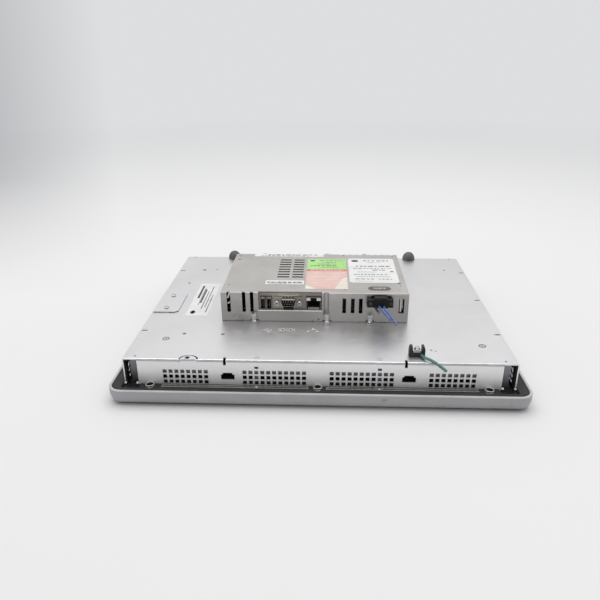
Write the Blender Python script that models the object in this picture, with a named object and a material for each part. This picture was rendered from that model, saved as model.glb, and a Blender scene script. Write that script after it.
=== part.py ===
"""Back of a panel-mounted operator terminal with a 15-inch class touch screen, lying face down.

Metres, +Z up. +X runs along the wide side, +Y towards the terminal's top edge (the ports face
its bottom edge, -Y) and +Z from the screen towards the back. The origin is the middle of the
bezel's front face. Every driving size is a constant below; each function makes one sub-part.
"""

import math

import bmesh
import bpy
from mathutils import Matrix, Vector

# Bezel: the wide frame that stays on the operator's side of the panel
BEZEL_WIDTH = 0.416
BEZEL_HEIGHT = 0.329
BEZEL_CORNER = 0.014
RIM_TOP = 0.0173          # rear rim of the bezel
CHANNEL_FLOOR = 0.0140    # shelf behind the rim that carries the gasket and the housing
SHELF_UNDERSIDE = 0.0115
SHELF_REACH = 0.026       # how far the shelf comes in from the outer edge
FACE_THICKNESS = 0.0030
RIM_WALL = 0.0030
WINDOW_WIDTH = 0.308
WINDOW_HEIGHT = 0.232
CENTRE_Y = 0.0048         # screen and housing sit this far towards the top edge

# Gap between pieces that touch, and the sheet-metal gauge
GAP = 0.0003
SHEET = 0.0012

# Gasket
GASKET_TOP = 0.0175
GASKET_SIDE_WIDTH = 0.0102
GASKET_END_WIDTH = 0.0036

# Housing: the folded sheet-metal box behind the screen
HOUSING_WIDTH = 0.3874
HOUSING_HEIGHT = 0.3024
HOUSING_FOOT = 0.0143
HOUSING_BACK = 0.0435
BEND_RADIUS = 0.0016
HOUSING_SIDE = HOUSING_WIDTH / 2
HOUSING_FRONT = CENTRE_Y - HOUSING_HEIGHT / 2
HOUSING_REAR = CENTRE_Y + HOUSING_HEIGHT / 2
NOTCH_INNER = 0.1795      # the end walls stop here and leave the corners open
VENT = 0.0040
VENT_PITCH = 0.00588
VENT_ROWS = (0.0184, 0.0242, 0.0300)
VENT_ARRAYS = ((-0.1315, 8), (-0.0430, 11), (0.0430, 11), (0.1315, 8))
SIDE_VENT_ARRAYS = ((-0.1180, 6), (0.1276, 6))
LEVER_SLOT_X = 0.0893
LEVER_SLOT_WIDTH = 0.0134
LEVER_SLOT_BOTTOM = 0.0216
LEVER_SLOT_TOP = 0.0290
BRACKET_X = 0.0605
FLANGE_REACH = 0.0107
FLANGE_HALF_LENGTH = 0.1770
BOSS_Y = -0.1514
BOSS_X = (-0.1668, 0.0, 0.1668)
BOSS_RADIUS = 0.0047
BOSS_HOLE_RADIUS = 0.0022
BOSS_HEIGHT = 0.0026
RIDGE_SPANS = ((-0.1552, -0.0090), (0.0080, 0.1565))
RIDGE_HEIGHT = 0.0011
SCREW_TAB_X = -0.1277
SCREW_TAB_RADIUS = 0.0084
SCREW_TAB_SLIT = (0.0009, 0.0017)   # at the top of the tab, and at the bend
SCREW_TAB_HOLE = (-0.1292, -0.1424)
SCREW_TAB_HOLE_RADIUS = 0.0023
BEND_SLOT_X = (-0.0918, 0.0858)
EDGE_SLOT_X = 0.1886
EDGE_SLOT_Y = (-0.0840, 0.0065, 0.0980)
CORNER_DOT_X = 0.1820
SMALL_HOLE_RADIUS = 0.0018

# Inside the housing
TRAY_FLOOR = 0.0170
TRAY_TOP = 0.0182
TRAY_SIDE = 0.1865
BOARD_REST = 0.0237
BOARD_POSTS = ((-0.070, -0.040), (0.070, -0.040), (-0.070, 0.050), (0.070, 0.050))
INVERTER_POSTS = ((-0.164, -0.052), (-0.164, 0.024))
BOARD_GAUGE = 0.0016

# What is fixed to the housing
LAMP_X = (-0.1860, -0.1760)
LAMP_Y = -0.1440
LAMP_RADIUS = 0.0019
COVER_SCREWS = ((-0.1792, -0.0269), (-0.1792, 0.0081))
COVER_LEFT = -0.1925
COVER_RIGHT = -0.1635
COVER_FRONT = -0.0380
COVER_REAR = 0.0190
COVER_CHAMFER = 0.0040
COVER_GAUGE = 0.0010
FOOT_X = 0.1250
FOOT_RADIUS = 0.0087
FOOT_HEIGHT = 0.0100
GROUND_SCREW = (0.0974, -0.1307)
GROUND_HALF_WIDTH = 0.0079
GROUND_HALF_DEPTH = 0.0033
GROUND_EAR = 0.0034
GROUND_BAR_TOP = 0.0476
GROUND_EAR_TOP = 0.0542
GROUND_WIRE_RADIUS = 0.0015
GROUND_WIRE = (
    (0.1016, -0.1343, 0.0458), (0.1024, -0.1372, 0.0459), (0.1050, -0.1412, 0.0461),
    (0.1088, -0.1452, 0.0461), (0.1128, -0.1499, 0.0457), (0.1168, -0.1548, 0.0447),
    (0.1212, -0.1602, 0.0430),
)

# Logic module: the removable electronics box on the housing's back
MODULE_LEFT = -0.1086
MODULE_RIGHT = 0.0975
MODULE_FRONT = -0.0576
MODULE_REAR = 0.0711
MODULE_BOTTOM = HOUSING_BACK + GAP
MODULE_TOP = 0.0781
BASE_TOP = MODULE_BOTTOM + SHEET
BOARD_BOTTOM = 0.0559
BOARD_TOP = 0.0575
PART_FOOT = BOARD_TOP + GAP     # underside of what stands on the main board
WINDOW_LEFT = -0.0669
WINDOW_RIGHT = 0.0031
WINDOW_SILL = 0.0575
PORT_PLATE_FRONT = -0.0544
FRONT_SLOTS = (           # centre, width, bottom, and whether it runs over the top fold
    (-0.0999, 0.0039, 0.0544, True), (-0.0831, 0.0037, 0.0546, True),
    (-0.0743, 0.0037, 0.0546, True), (0.0274, 0.0040, 0.0542, False),
    (0.0367, 0.0040, 0.0542, False), (0.0454, 0.0040, 0.0542, False),
    (0.0898, 0.0056, 0.0548, False),
)
SLOT_TOP = 0.0718
REAR_SLOT_FIRST_X = 0.0265
REAR_SLOT_COUNT = 9
REAR_SLOT_PITCH = 0.0079
TOP_VENT_COLUMNS = ((-0.0496, -0.0357), (-0.0324, -0.0196))
TOP_VENT_FIRST_Y = -0.0100
TOP_VENT_PITCH = 0.0083
TOP_VENT_ROWS = 8
DRIVER_GROOVE_X = 0.0076
DRIVER_GROOVE_RADIUS = 0.0029

# Ports behind the module's window
USB_X = (-0.0622, -0.0553)
USB_SIZE = (0.0058, 0.0146)
USB_WALL = 0.0005
SERIAL_X = -0.0340
SERIAL_Z = 0.0663
SERIAL_HOLE = (0.0096, 0.0052)
SERIAL_FLANGE = (0.0154, 0.0062)
SERIAL_SHELL_FRONT = -0.0595
JACKSCREW_SPACING = 0.02499
JACKSCREW_LENGTH = 0.0046
ETHERNET_X = -0.0062
ETHERNET_SIZE = (0.0164, 0.0146)

# Captive screws that hold the logic module
SCREW_X = (-0.0720, 0.0086, 0.0560)
SCREW_FRONT_Y = -0.0613
SCREW_REAR_Y = 0.0748
SCREW_HEAD_RADIUS = 0.0031
SCREW_HEAD_LENGTH = 0.0100
SCREW_NECK_RADIUS = 0.0023
SCREW_SHANK_RADIUS = 0.0015
SCREW_TIP = 0.0390
FRONT_SCREW_TOP = 0.0550
REAR_SCREW_TOP = 0.0770
EAR_RADIUS = 0.0044

# Power plug, pushed into its header through the module's front wall
PLUG_LEFT = 0.0518
PLUG_RIGHT = 0.0800
PLUG_FRONT = -0.0660
PLUG_BOTTOM = 0.0646
PLUG_WIRE_RADIUS = 0.0013
POWER_WIRE_1 = (
    (0.0649, -0.0663, 0.0664), (0.0651, -0.0692, 0.0664),
    (0.0664, -0.0743, 0.0663), (0.0684, -0.0797, 0.0661),
    (0.0705, -0.0851, 0.0658), (0.0726, -0.0905, 0.0654),
    (0.0743, -0.0958, 0.0651),
)
POWER_WIRE_2 = (
    (0.0699, -0.0663, 0.0664), (0.0701, -0.0692, 0.0663),
    (0.0717, -0.0741, 0.0656), (0.0740, -0.0790, 0.0642),
    (0.0766, -0.0838, 0.0622), (0.0792, -0.0885, 0.0599),
    (0.0816, -0.0934, 0.0577),
)
POWER_WIRE_3 = (
    (0.0609, -0.0663, 0.0664), (0.0609, -0.0692, 0.0665),
    (0.0610, -0.0745, 0.0672), (0.0612, -0.0800, 0.0684),
    (0.0614, -0.0855, 0.0699), (0.0616, -0.0912, 0.0716),
    (0.0617, -0.0967, 0.0733),
)

# Memory card in the module's rear wall
CARD_CENTRE_X = -0.0380
CARD_WIDTH = 0.0428
CARD_LENGTH = 0.0364
CARD_BOTTOM = 0.0605
CARD_THICKNESS = 0.0033
CARD_PROUD = 0.0010

# Docking connector between module and housing
DOCK_Y = 0.0060
DOCK_HALF_LENGTH = 0.0250
DOCK_HALF_WIDTH = 0.0025

LABEL_THICKNESS = 0.0003
SMOOTH_ANGLE = math.radians(35)
WIRE_STEPS = 2            # straight lengths between two points of a wire's route


# ---- materials ----

def material(name, colour, roughness, metallic=0.0, alpha=1.0):
    made = bpy.data.materials.new(name)
    made.use_nodes = True
    shader = made.node_tree.nodes["Principled BSDF"]
    shader.inputs["Base Color"].default_value = (*colour, 1.0)
    shader.inputs["Roughness"].default_value = roughness
    shader.inputs["Metallic"].default_value = metallic
    shader.inputs["Alpha"].default_value = alpha
    made.diffuse_color = (*colour, alpha)
    return made


# ---- mesh helpers ----

def box_into(mesh, low, high):
    """Adds an axis-aligned box between two corners and returns its vertices."""
    size = [b - a for a, b in zip(low, high)]
    middle = [(a + b) / 2 for a, b in zip(low, high)]
    place = Matrix.Translation(middle) @ Matrix.Diagonal((*size, 1.0))
    return bmesh.ops.create_cube(mesh, size=1.0, matrix=place)["verts"]


def rod_into(mesh, centre, radius, length, axis="Z", sides=20, turn=0.0):
    """Adds a closed cylinder along an axis, centred on a point."""
    turns = {
        "X": Matrix.Rotation(math.pi / 2, 4, "Y"),
        "Y": Matrix.Rotation(math.pi / 2, 4, "X"),
        "Z": Matrix.Identity(4),
    }
    place = Matrix.Translation(centre) @ turns[axis] @ Matrix.Rotation(turn, 4, "Z")
    bmesh.ops.create_cone(
        mesh, cap_ends=True, segments=sides, radius1=radius, radius2=radius, depth=length,
        matrix=place,
    )


def prism_into(mesh, outline, start, end, plane):
    """Adds a closed prism: an outline of (u, v) points extruded from start to end.

    plane names what u, v and the extrusion run along, such as "XZY".
    """
    order = ["XYZ".index(letter) for letter in plane]

    def corner(u, v, w):
        point = [0.0, 0.0, 0.0]
        for index, value in zip(order, (u, v, w)):
            point[index] = value
        return mesh.verts.new(point)

    near = [corner(u, v, start) for u, v in outline]
    far = [corner(u, v, end) for u, v in outline]
    faces = [mesh.faces.new(near), mesh.faces.new(far)]
    for i in range(len(outline)):
        j = (i + 1) % len(outline)
        faces.append(mesh.faces.new((near[i], near[j], far[j], far[i])))
    bmesh.ops.recalc_face_normals(mesh, faces=faces)


def rounded_rectangle(width, height, radius, centre=(0.0, 0.0), steps=4):
    """Outline of a rectangle with round corners, anticlockwise."""
    outline = []
    corners = ((1, 1, 0), (-1, 1, 1), (-1, -1, 2), (1, -1, 3))
    for side_x, side_y, quarter in corners:
        middle_x = centre[0] + side_x * (width / 2 - radius)
        middle_y = centre[1] + side_y * (height / 2 - radius)
        for step in range(steps + 1):
            angle = (quarter + step / steps) * math.pi / 2
            outline.append(
                (middle_x + radius * math.cos(angle), middle_y + radius * math.sin(angle))
            )
    return outline


def ring_into(mesh, profile):
    """Adds a frame: a closed chain of rounded rectangles (width, height, radius, centre_y, z)."""
    loops = []
    for width, height, radius, centre_y, z in profile:
        outline = rounded_rectangle(width, height, radius, (0.0, centre_y), steps=6)
        loops.append([mesh.verts.new((x, y, z)) for x, y in outline])
    faces = []
    for lower, upper in zip(loops, loops[1:] + loops[:1]):
        for i in range(len(lower)):
            j = (i + 1) % len(lower)
            faces.append(mesh.faces.new((lower[i], lower[j], upper[j], upper[i])))
    bmesh.ops.recalc_face_normals(mesh, faces=faces)


def folded_box(low, high, radius, steps=3):
    """A box whose top edges are rounded, as a sheet-metal fold is."""
    mesh = bmesh.new()
    box_into(mesh, low, high)
    top = [e for e in mesh.edges if all(abs(v.co.z - high[2]) < 1e-6 for v in e.verts)]
    bmesh.ops.bevel(mesh, geom=top, offset=radius, segments=steps, profile=0.5, affect="EDGES")
    return mesh


def boxes(*spans):
    mesh = bmesh.new()
    for low, high in spans:
        box_into(mesh, low, high)
    return mesh


def rod(centre, radius, length, axis="Z", sides=20, turn=0.0):
    mesh = bmesh.new()
    rod_into(mesh, centre, radius, length, axis, sides, turn)
    return mesh


def prism(outline, start, end, plane="XYZ"):
    mesh = bmesh.new()
    prism_into(mesh, outline, start, end, plane)
    return mesh


# ---- object helpers ----

def world_place(thing):
    """World position of an object whose parents only move it."""
    place = Vector()
    while thing is not None:
        place += thing.location
        thing = thing.parent
    return place


def node(name, mesh, finish, parent=None):
    """Makes a named object from a mesh given in world coordinates, with its origin at its parent."""
    bmesh.ops.translate(mesh, verts=mesh.verts, vec=-world_place(parent))
    data = bpy.data.meshes.new(name)
    mesh.to_mesh(data)
    mesh.free()
    data.shade_smooth()
    data.set_sharp_from_angle(angle=SMOOTH_ANGLE)
    data.materials.append(finish)
    made = bpy.data.objects.new(name, data)
    bpy.context.scene.collection.objects.link(made)
    made.parent = parent
    return made


def pivot(name, place, parent=None):
    """An empty that marks where a moving body's joint is."""
    made = bpy.data.objects.new(name, None)
    bpy.context.scene.collection.objects.link(made)
    made.empty_display_size = 0.01
    made.location = Vector(place) - world_place(parent)
    made.parent = parent
    return made


def combine(target, mesh, operation):
    """Cuts a mesh, given in world coordinates, out of an object or joins it on."""
    name = f"{target.name}_{operation.lower()}_{len(target.modifiers)}"
    helper = node(name, mesh, target.data.materials[0])
    helper.hide_render = True
    helper.display_type = "WIRE"
    boolean = target.modifiers.new(helper.name, "BOOLEAN")
    boolean.object = helper
    boolean.operation = operation
    boolean.solver = "EXACT"


def cut(target, mesh):
    combine(target, mesh, "DIFFERENCE")


def join(target, mesh):
    combine(target, mesh, "UNION")


def wire(name, points, radius, finish, parent=None):
    """A cut length of insulated wire as a plain tube through a smooth curve."""
    through = [Vector(p) for p in points]
    padded = [2 * through[0] - through[1], *through, 2 * through[-1] - through[-2]]
    path = []
    for i in range(1, len(padded) - 2):
        before, start, end, after = padded[i - 1:i + 3]
        square = 2 * before - 5 * start + 4 * end - after
        cube = 3 * start - before - 3 * end + after
        for step in range(WIRE_STEPS):
            t = step / WIRE_STEPS
            path.append(start + ((end - before) * t + square * t**2 + cube * t**3) / 2)
    path.append(through[-1])
    curve = bpy.data.curves.new(name, "CURVE")
    curve.dimensions = "3D"
    curve.bevel_depth = radius
    curve.bevel_resolution = 2
    curve.use_fill_caps = True
    line = curve.splines.new("POLY")
    line.points.add(len(path) - 1)
    for knot, place in zip(line.points, path):
        knot.co = (*place, 1.0)
    curve.materials.append(finish)
    made = bpy.data.objects.new(name, curve)
    bpy.context.scene.collection.objects.link(made)
    made.location = -world_place(parent)
    made.parent = parent
    return made


# ---- bezel, screen and gasket ----

def make_bezel(paint):
    def at(inset, z):
        radius = max(BEZEL_CORNER - inset, 0.003)
        return (BEZEL_WIDTH - 2 * inset, BEZEL_HEIGHT - 2 * inset, radius, 0.0, z)

    def window(margin, z):
        width, height = WINDOW_WIDTH + 2 * margin, WINDOW_HEIGHT + 2 * margin
        return (width, height, 0.003 + margin, CENTRE_Y, z)

    mesh = bmesh.new()
    ring_into(mesh, [
        at(0.0085, 0.0), at(0.0052, 0.0012), at(0.0028, 0.0032), at(0.0011, 0.0060),
        at(0.0002, 0.0090), at(0.0, 0.0115),
        at(0.0, RIM_TOP - 0.0009), at(0.00025, RIM_TOP - 0.0003), at(0.0009, RIM_TOP),
        at(RIM_WALL - 0.0003, RIM_TOP), at(RIM_WALL, CHANNEL_FLOOR),
        at(SHELF_REACH, CHANNEL_FLOOR), at(SHELF_REACH, SHELF_UNDERSIDE),
        at(RIM_WALL + 0.001, SHELF_UNDERSIDE), at(RIM_WALL + 0.001, FACE_THICKNESS),
        window(0.0010, FACE_THICKNESS), window(0.0, 0.0012), window(0.0020, 0.0),
    ])
    bezel = node("bezel_frame", mesh, paint)
    lamp_holes = bmesh.new()
    for x in LAMP_X:
        centre = (x, LAMP_Y, FACE_THICKNESS / 2)
        rod_into(lamp_holes, centre, LAMP_RADIUS + GAP, 0.008, sides=16)
    cut(bezel, lamp_holes)


def make_lamps(green, red):
    for name, x, finish in (("power_lamp", LAMP_X[0], green), ("fault_lamp", LAMP_X[1], red)):
        node(name, rod((x, LAMP_Y, 0.0028), LAMP_RADIUS, 0.0052, sides=16), finish)


def make_gasket(rubber):
    outer = RIM_WALL + 0.0004

    def at(inset_side, inset_end, z, radius):
        return (BEZEL_WIDTH - 2 * inset_side, BEZEL_HEIGHT - 2 * inset_end, radius, 0.0, z)

    side, end = outer + GASKET_SIDE_WIDTH, outer + GASKET_END_WIDTH
    crown = 0.0006
    mesh = bmesh.new()
    ring_into(mesh, [
        at(outer, outer, CHANNEL_FLOOR + GAP, 0.0106),
        at(outer, outer, GASKET_TOP - crown, 0.0106),
        at(outer + crown, outer + crown, GASKET_TOP, 0.0100),
        at(side - crown, end - crown, GASKET_TOP, 0.0026),
        at(side, end, GASKET_TOP - crown, 0.0020),
        at(side, end, CHANNEL_FLOOR + GAP, 0.0020),
    ])
    node("panel_gasket", mesh, rubber)


def make_touch_screen(glass):
    outline = rounded_rectangle(0.330, 0.252, 0.002, (0.0, CENTRE_Y), steps=2)
    node("touch_screen", prism(outline, FACE_THICKNESS + GAP, 0.0052), glass)


def make_lcd_panel(steel):
    plate = ((-0.163, CENTRE_Y - 0.1245, 0.0055), (0.163, CENTRE_Y + 0.1245, 0.0150))
    panel = node("lcd_panel", boxes(plate), steel)
    join(panel, boxes(((-0.155, CENTRE_Y - 0.100, 0.0145), (0.155, CENTRE_Y + 0.118, 0.0165))))


# ---- housing and what is inside it ----

def make_inner_chassis(steel):
    """Tray behind the screen: feet on the bezel's shelf, corner posts, brackets and standoffs."""
    front, rear = HOUSING_FRONT + SHEET + 0.0008, HOUSING_REAR - SHEET - 0.0008
    plate = ((-TRAY_SIDE, front, TRAY_FLOOR), (TRAY_SIDE, rear, TRAY_TOP))
    tray = node("inner_chassis", boxes(plate), steel)
    feet = bmesh.new()
    posts = bmesh.new()
    sunk = TRAY_TOP - 0.0004
    for side in (-1, 1):
        edge = sorted((side * TRAY_SIDE, side * (TRAY_SIDE - SHEET)))
        box_into(feet, (edge[0], -0.120, HOUSING_FOOT), (edge[1], 0.130, TRAY_FLOOR + 0.0004))
        corner = sorted((side * TRAY_SIDE, side * 0.1806))
        bracket = (side * BRACKET_X - 0.0028, side * BRACKET_X + 0.0028)
        for (left, right), height in ((corner, 0.0415), (bracket, 0.0405)):
            box_into(posts, (left, front, sunk), (right, front + SHEET, height))
            box_into(posts, (left, rear - SHEET, sunk), (right, rear, height))
    for x, y in BOARD_POSTS + INVERTER_POSTS:
        rod_into(posts, (x, y, (sunk + BOARD_REST) / 2), 0.0025, BOARD_REST - sunk, sides=8)
    join(tray, feet)
    join(tray, posts)
    cut(tray, boxes(((-0.018, -0.060, 0.016), (0.018, -0.045, 0.020))))


def make_display_board(laminate):
    bottom = BOARD_REST + GAP
    plate = ((-0.078, -0.048, bottom), (0.078, 0.058, bottom + BOARD_GAUGE))
    node("display_board", boxes(plate), laminate)


def make_docking_socket(plastic):
    bottom = BOARD_REST + BOARD_GAUGE + 2 * GAP
    top = HOUSING_BACK - SHEET - GAP
    half = DOCK_HALF_LENGTH + 0.004
    outer = ((-half, DOCK_Y - 0.0055, bottom), (half, DOCK_Y + 0.0055, top))
    socket = node("docking_socket", boxes(outer), plastic)
    clear = 0.0004
    cut(socket, boxes((
        (-DOCK_HALF_LENGTH - clear, DOCK_Y - DOCK_HALF_WIDTH - clear, 0.0360),
        (DOCK_HALF_LENGTH + clear, DOCK_Y + DOCK_HALF_WIDTH + clear, 0.0500),
    )))


def make_inverter_board(laminate):
    bottom = BOARD_REST + GAP
    plate = ((-0.176, -0.060, bottom), (-0.152, 0.032, bottom + BOARD_GAUGE))
    board = node("inverter_board", boxes(plate), laminate)
    join(board, boxes(
        ((-0.173, -0.034, bottom + 0.001), (-0.156, -0.012, bottom + 0.0090)),
        ((-0.172, 0.006, bottom + 0.001), (-0.158, 0.018, bottom + 0.0060)),
    ))


def vent_grid_into(mesh, centre, count, walls, along):
    """Rows of square holes through a wall; along is the letter that the rows run along."""
    near, far = walls
    for row in VENT_ROWS:
        for i in range(count):
            middle = centre + (i - (count - 1) / 2) * VENT_PITCH
            first, last = middle - VENT / 2, middle + VENT / 2
            if along == "X":
                box_into(mesh, (first, near, row - VENT / 2), (last, far, row + VENT / 2))
            else:
                box_into(mesh, (near, first, row - VENT / 2), (far, last, row + VENT / 2))


def lever_slot_outline(x):
    half, step = LEVER_SLOT_WIDTH / 2, 0.0019
    shoulder = LEVER_SLOT_TOP - 0.0018
    return [
        (x - half, LEVER_SLOT_BOTTOM), (x + half, LEVER_SLOT_BOTTOM), (x + half, shoulder),
        (x + half - step, shoulder), (x + half - step, LEVER_SLOT_TOP),
        (x - half + step, LEVER_SLOT_TOP), (x - half + step, shoulder), (x - half, shoulder),
    ]


def housing_wall_cutter():
    """Vents, lever slots, bracket windows and open corners of the two end walls and the sides."""
    mesh = bmesh.new()
    through = 0.003
    for wall in (HOUSING_FRONT + SHEET / 2, HOUSING_REAR - SHEET / 2):
        near, far = wall - through, wall + through
        for centre, count in VENT_ARRAYS:
            vent_grid_into(mesh, centre, count, (near, far), "X")
        for side in (-1, 1):
            prism_into(mesh, lever_slot_outline(side * LEVER_SLOT_X), near, far, "XZY")
            x = side * BRACKET_X
            box_into(mesh, (x - 0.0020, near, 0.0341), (x + 0.0020, far, 0.0366))
            left, right = sorted((side * NOTCH_INNER, side * (HOUSING_SIDE - SHEET)))
            notch_top = HOUSING_BACK - SHEET - 0.0001
            box_into(mesh, (left, near, HOUSING_FOOT - 0.002), (right, far, notch_top))
    for side in (-1, 1):
        wall = side * (HOUSING_SIDE - SHEET / 2)
        for centre, count in SIDE_VENT_ARRAYS:
            vent_grid_into(mesh, centre, count, (wall - through, wall + through), "Y")
    return mesh


def screw_tab_outline():
    """A half-ring slit round the tab, wider at its ends, which run on through the front wall."""
    steps = 12
    centre_y = HOUSING_FRONT - 0.0006
    angles = [math.pi * i / steps for i in range(steps + 1)]
    narrow, wide = SCREW_TAB_SLIT
    outer = [SCREW_TAB_RADIUS + narrow + (wide - narrow) * abs(math.cos(a)) for a in angles]
    inner = [SCREW_TAB_RADIUS] * len(angles)

    def arc(radii, along):
        points = [
            (SCREW_TAB_X + r * math.cos(a), centre_y + r * math.sin(a)) for r, a in zip(radii, along)
        ]
        first, last = points[0][0], points[-1][0]
        return [(first, HOUSING_FRONT - 0.001), *points, (last, HOUSING_FRONT - 0.001)]

    return arc(outer, angles) + arc(inner, angles[::-1])


def housing_back_cutter():
    """Screw holes, slots and the docking opening in the housing's back."""
    mesh = bmesh.new()
    low, high = HOUSING_BACK - 0.003, HOUSING_BACK + 0.003
    middle = (low + high) / 2
    for x in SCREW_X:
        for y in (SCREW_FRONT_Y, SCREW_REAR_Y):
            rod_into(mesh, (x, y, middle), SCREW_SHANK_RADIUS + 0.0006, high - low, sides=12)
    for x, y in (*COVER_SCREWS, GROUND_SCREW):
        rod_into(mesh, (x, y, middle), SMALL_HOLE_RADIUS, high - low, sides=12)
    rod_into(mesh, (*SCREW_TAB_HOLE, middle), SCREW_TAB_HOLE_RADIUS, high - low, sides=16)
    for side in (-1, 1):
        for y in EDGE_SLOT_Y:
            x = side * EDGE_SLOT_X
            box_into(mesh, (x - 0.0030, y - 0.0010, low), (x + 0.0030, y + 0.0010, high))
        for y in (HOUSING_FRONT + 0.0056, HOUSING_REAR - 0.0040):
            rod_into(mesh, (side * CORNER_DOT_X, y, middle), 0.0011, high - low, sides=8)
    for x in BEND_SLOT_X:
        near, far = HOUSING_FRONT - 0.001, HOUSING_FRONT + 0.0060
        box_into(mesh, (x - 0.0014, near, 0.0375), (x + 0.0014, far, high))
    box_into(mesh, (-0.030, DOCK_Y - 0.006, low), (0.030, DOCK_Y + 0.006, high))
    prism_into(mesh, screw_tab_outline(), low, high, "XYZ")
    box_into(mesh, (-0.1860, -0.0240, low), (-0.1700, 0.0050, high))
    return mesh


def make_housing(sheet_steel):
    outer = folded_box(
        (-HOUSING_SIDE, HOUSING_FRONT, HOUSING_FOOT),
        (HOUSING_SIDE, HOUSING_REAR, HOUSING_BACK),
        BEND_RADIUS,
    )
    housing = node("display_housing", outer, sheet_steel)
    cut(housing, folded_box(
        (-HOUSING_SIDE + SHEET, HOUSING_FRONT + SHEET, HOUSING_FOOT - 0.005),
        (HOUSING_SIDE - SHEET, HOUSING_REAR - SHEET, HOUSING_BACK - SHEET),
        BEND_RADIUS - SHEET, steps=1,
    ))
    cut(housing, housing_wall_cutter())
    cut(housing, housing_back_cutter())
    reach = HOUSING_FRONT - FLANGE_REACH
    top = HOUSING_FOOT + SHEET
    join(housing, boxes((
        (-FLANGE_HALF_LENGTH, reach, HOUSING_FOOT),
        (FLANGE_HALF_LENGTH, HOUSING_FRONT + 0.0006, top),
    )))
    ridge_top = top + RIDGE_HEIGHT
    join(housing, boxes(*[
        ((left, BOSS_Y - 0.0022, top - 0.0004), (right, BOSS_Y + 0.0016, ridge_top))
        for left, right in RIDGE_SPANS
    ]))


def make_flange_hardware(steel):
    top = HOUSING_FOOT + SHEET
    for number, x in enumerate(BOSS_X, 1):
        centre = (x, BOSS_Y, top + GAP + BOSS_HEIGHT / 2)
        boss = node(f"flange_nut_{number}", rod(centre, BOSS_RADIUS, BOSS_HEIGHT), steel)
        cut(boss, rod(centre, BOSS_HOLE_RADIUS, 2 * BOSS_HEIGHT, sides=16))
    head = top + RIDGE_HEIGHT + GAP
    for number, side in enumerate((-1, 1), 1):
        centre = (side * BRACKET_X, BOSS_Y - 0.0003, head + 0.0004)
        node(f"flange_screw_{number}", rod(centre, 0.0018, 0.0008, sides=12), steel)


def make_access_cover(sheet_steel, screw_steel):
    """Small plate that covers the inverter's connector at the left edge of the back."""
    bottom = HOUSING_BACK + GAP
    top = bottom + COVER_GAUGE
    outline = [
        (COVER_LEFT, COVER_FRONT), (COVER_RIGHT - COVER_CHAMFER, COVER_FRONT),
        (COVER_RIGHT, COVER_FRONT + COVER_CHAMFER), (COVER_RIGHT, COVER_REAR - COVER_CHAMFER),
        (COVER_RIGHT - COVER_CHAMFER, COVER_REAR), (COVER_LEFT, COVER_REAR),
    ]
    cover = node("access_cover", prism(outline, bottom, top), sheet_steel)
    holes = bmesh.new()
    for x, y in COVER_SCREWS:
        rod_into(holes, (x, y, top), SMALL_HOLE_RADIUS, 0.006, sides=12)
    cut(cover, holes)
    head = top + GAP
    for number, (x, y) in enumerate(COVER_SCREWS, 1):
        disc = rod((x, y, head + 0.0007), 0.0029, 0.0014, sides=16)
        screw = node(f"cover_screw_{number}", disc, screw_steel)
        join(screw, rod((x, y, head - 0.0025), 0.0014, 0.0056, sides=12))


def make_rubber_foot(name, x, rubber):
    """Round bumper on the back's rear edge, with a skirt down the outside of the rear wall."""
    base = HOUSING_BACK + GAP
    centre_y = HOUSING_REAR - 0.0035
    beyond = 0.02
    mesh = bmesh.new()
    squash = Matrix.Diagonal((FOOT_RADIUS, FOOT_RADIUS, FOOT_HEIGHT, 1.0))
    place = Matrix.Translation((x, centre_y, base)) @ squash
    bmesh.ops.create_uvsphere(mesh, u_segments=24, v_segments=12, radius=1.0, matrix=place)
    foot = node(name, mesh, rubber)
    low = (x - beyond, centre_y - beyond, base - beyond)
    cut(foot, boxes((low, (x + beyond, centre_y + beyond, base))))
    # A hidden helper: the skirt, trimmed to what stands outside the rear wall
    wrap = rod((x, centre_y, base - 0.0037), FOOT_RADIUS - 0.0003, 0.0090)
    skirt = node(f"{name}_skirt", wrap, rubber)
    skirt.hide_render = True
    skirt.display_type = "WIRE"
    cut(skirt, boxes((low, (x + beyond, HOUSING_REAR + GAP, base + beyond))))
    union = foot.modifiers.new("skirt", "BOOLEAN")
    union.object = skirt
    union.operation = "UNION"
    union.solver = "EXACT"


def make_ground_terminal(black, steel, green):
    x, y = GROUND_SCREW
    left, right = x - GROUND_HALF_WIDTH, x + GROUND_HALF_WIDTH
    front, rear = y - GROUND_HALF_DEPTH, y + GROUND_HALF_DEPTH
    bottom = HOUSING_BACK + GAP
    bar = ((left, front, bottom), (right, rear, GROUND_BAR_TOP))
    body = node("ground_terminal", boxes(bar), black)
    sunk = GROUND_BAR_TOP - 0.001
    join(body, boxes(
        ((left, front, sunk), (left + GROUND_EAR, rear, GROUND_EAR_TOP)),
        ((right - GROUND_EAR, front, sunk), (right, rear, GROUND_EAR_TOP)),
    ))
    cut(body, rod((x, y, bottom), 0.0019, 0.02, sides=12))
    inset = GROUND_EAR + GAP
    clamp_top = GROUND_BAR_TOP + 0.0026
    clamp = node("ground_clamp", boxes((
        (left + inset, front + 0.0006, GROUND_BAR_TOP + GAP), (right - inset, rear - 0.0006, clamp_top)
    )), steel)
    cut(clamp, rod((x, y, bottom), 0.0019, 0.02, sides=12))
    head_bottom = clamp_top + GAP
    screw = node("ground_screw", rod((x, y, head_bottom + 0.0011), 0.0027, 0.0022, sides=16), steel)
    join(screw, rod((x, y, head_bottom - 0.0045), 0.0014, 0.0096, sides=12))
    wire("ground_wire", GROUND_WIRE, GROUND_WIRE_RADIUS, green)


# ---- logic module ----

def screw_places():
    """(x, y, head top) for each captive screw, front row first."""
    places = [(x, SCREW_FRONT_Y, FRONT_SCREW_TOP) for x in SCREW_X]
    return places + [(x, SCREW_REAR_Y, REAR_SCREW_TOP) for x in SCREW_X]


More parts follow.
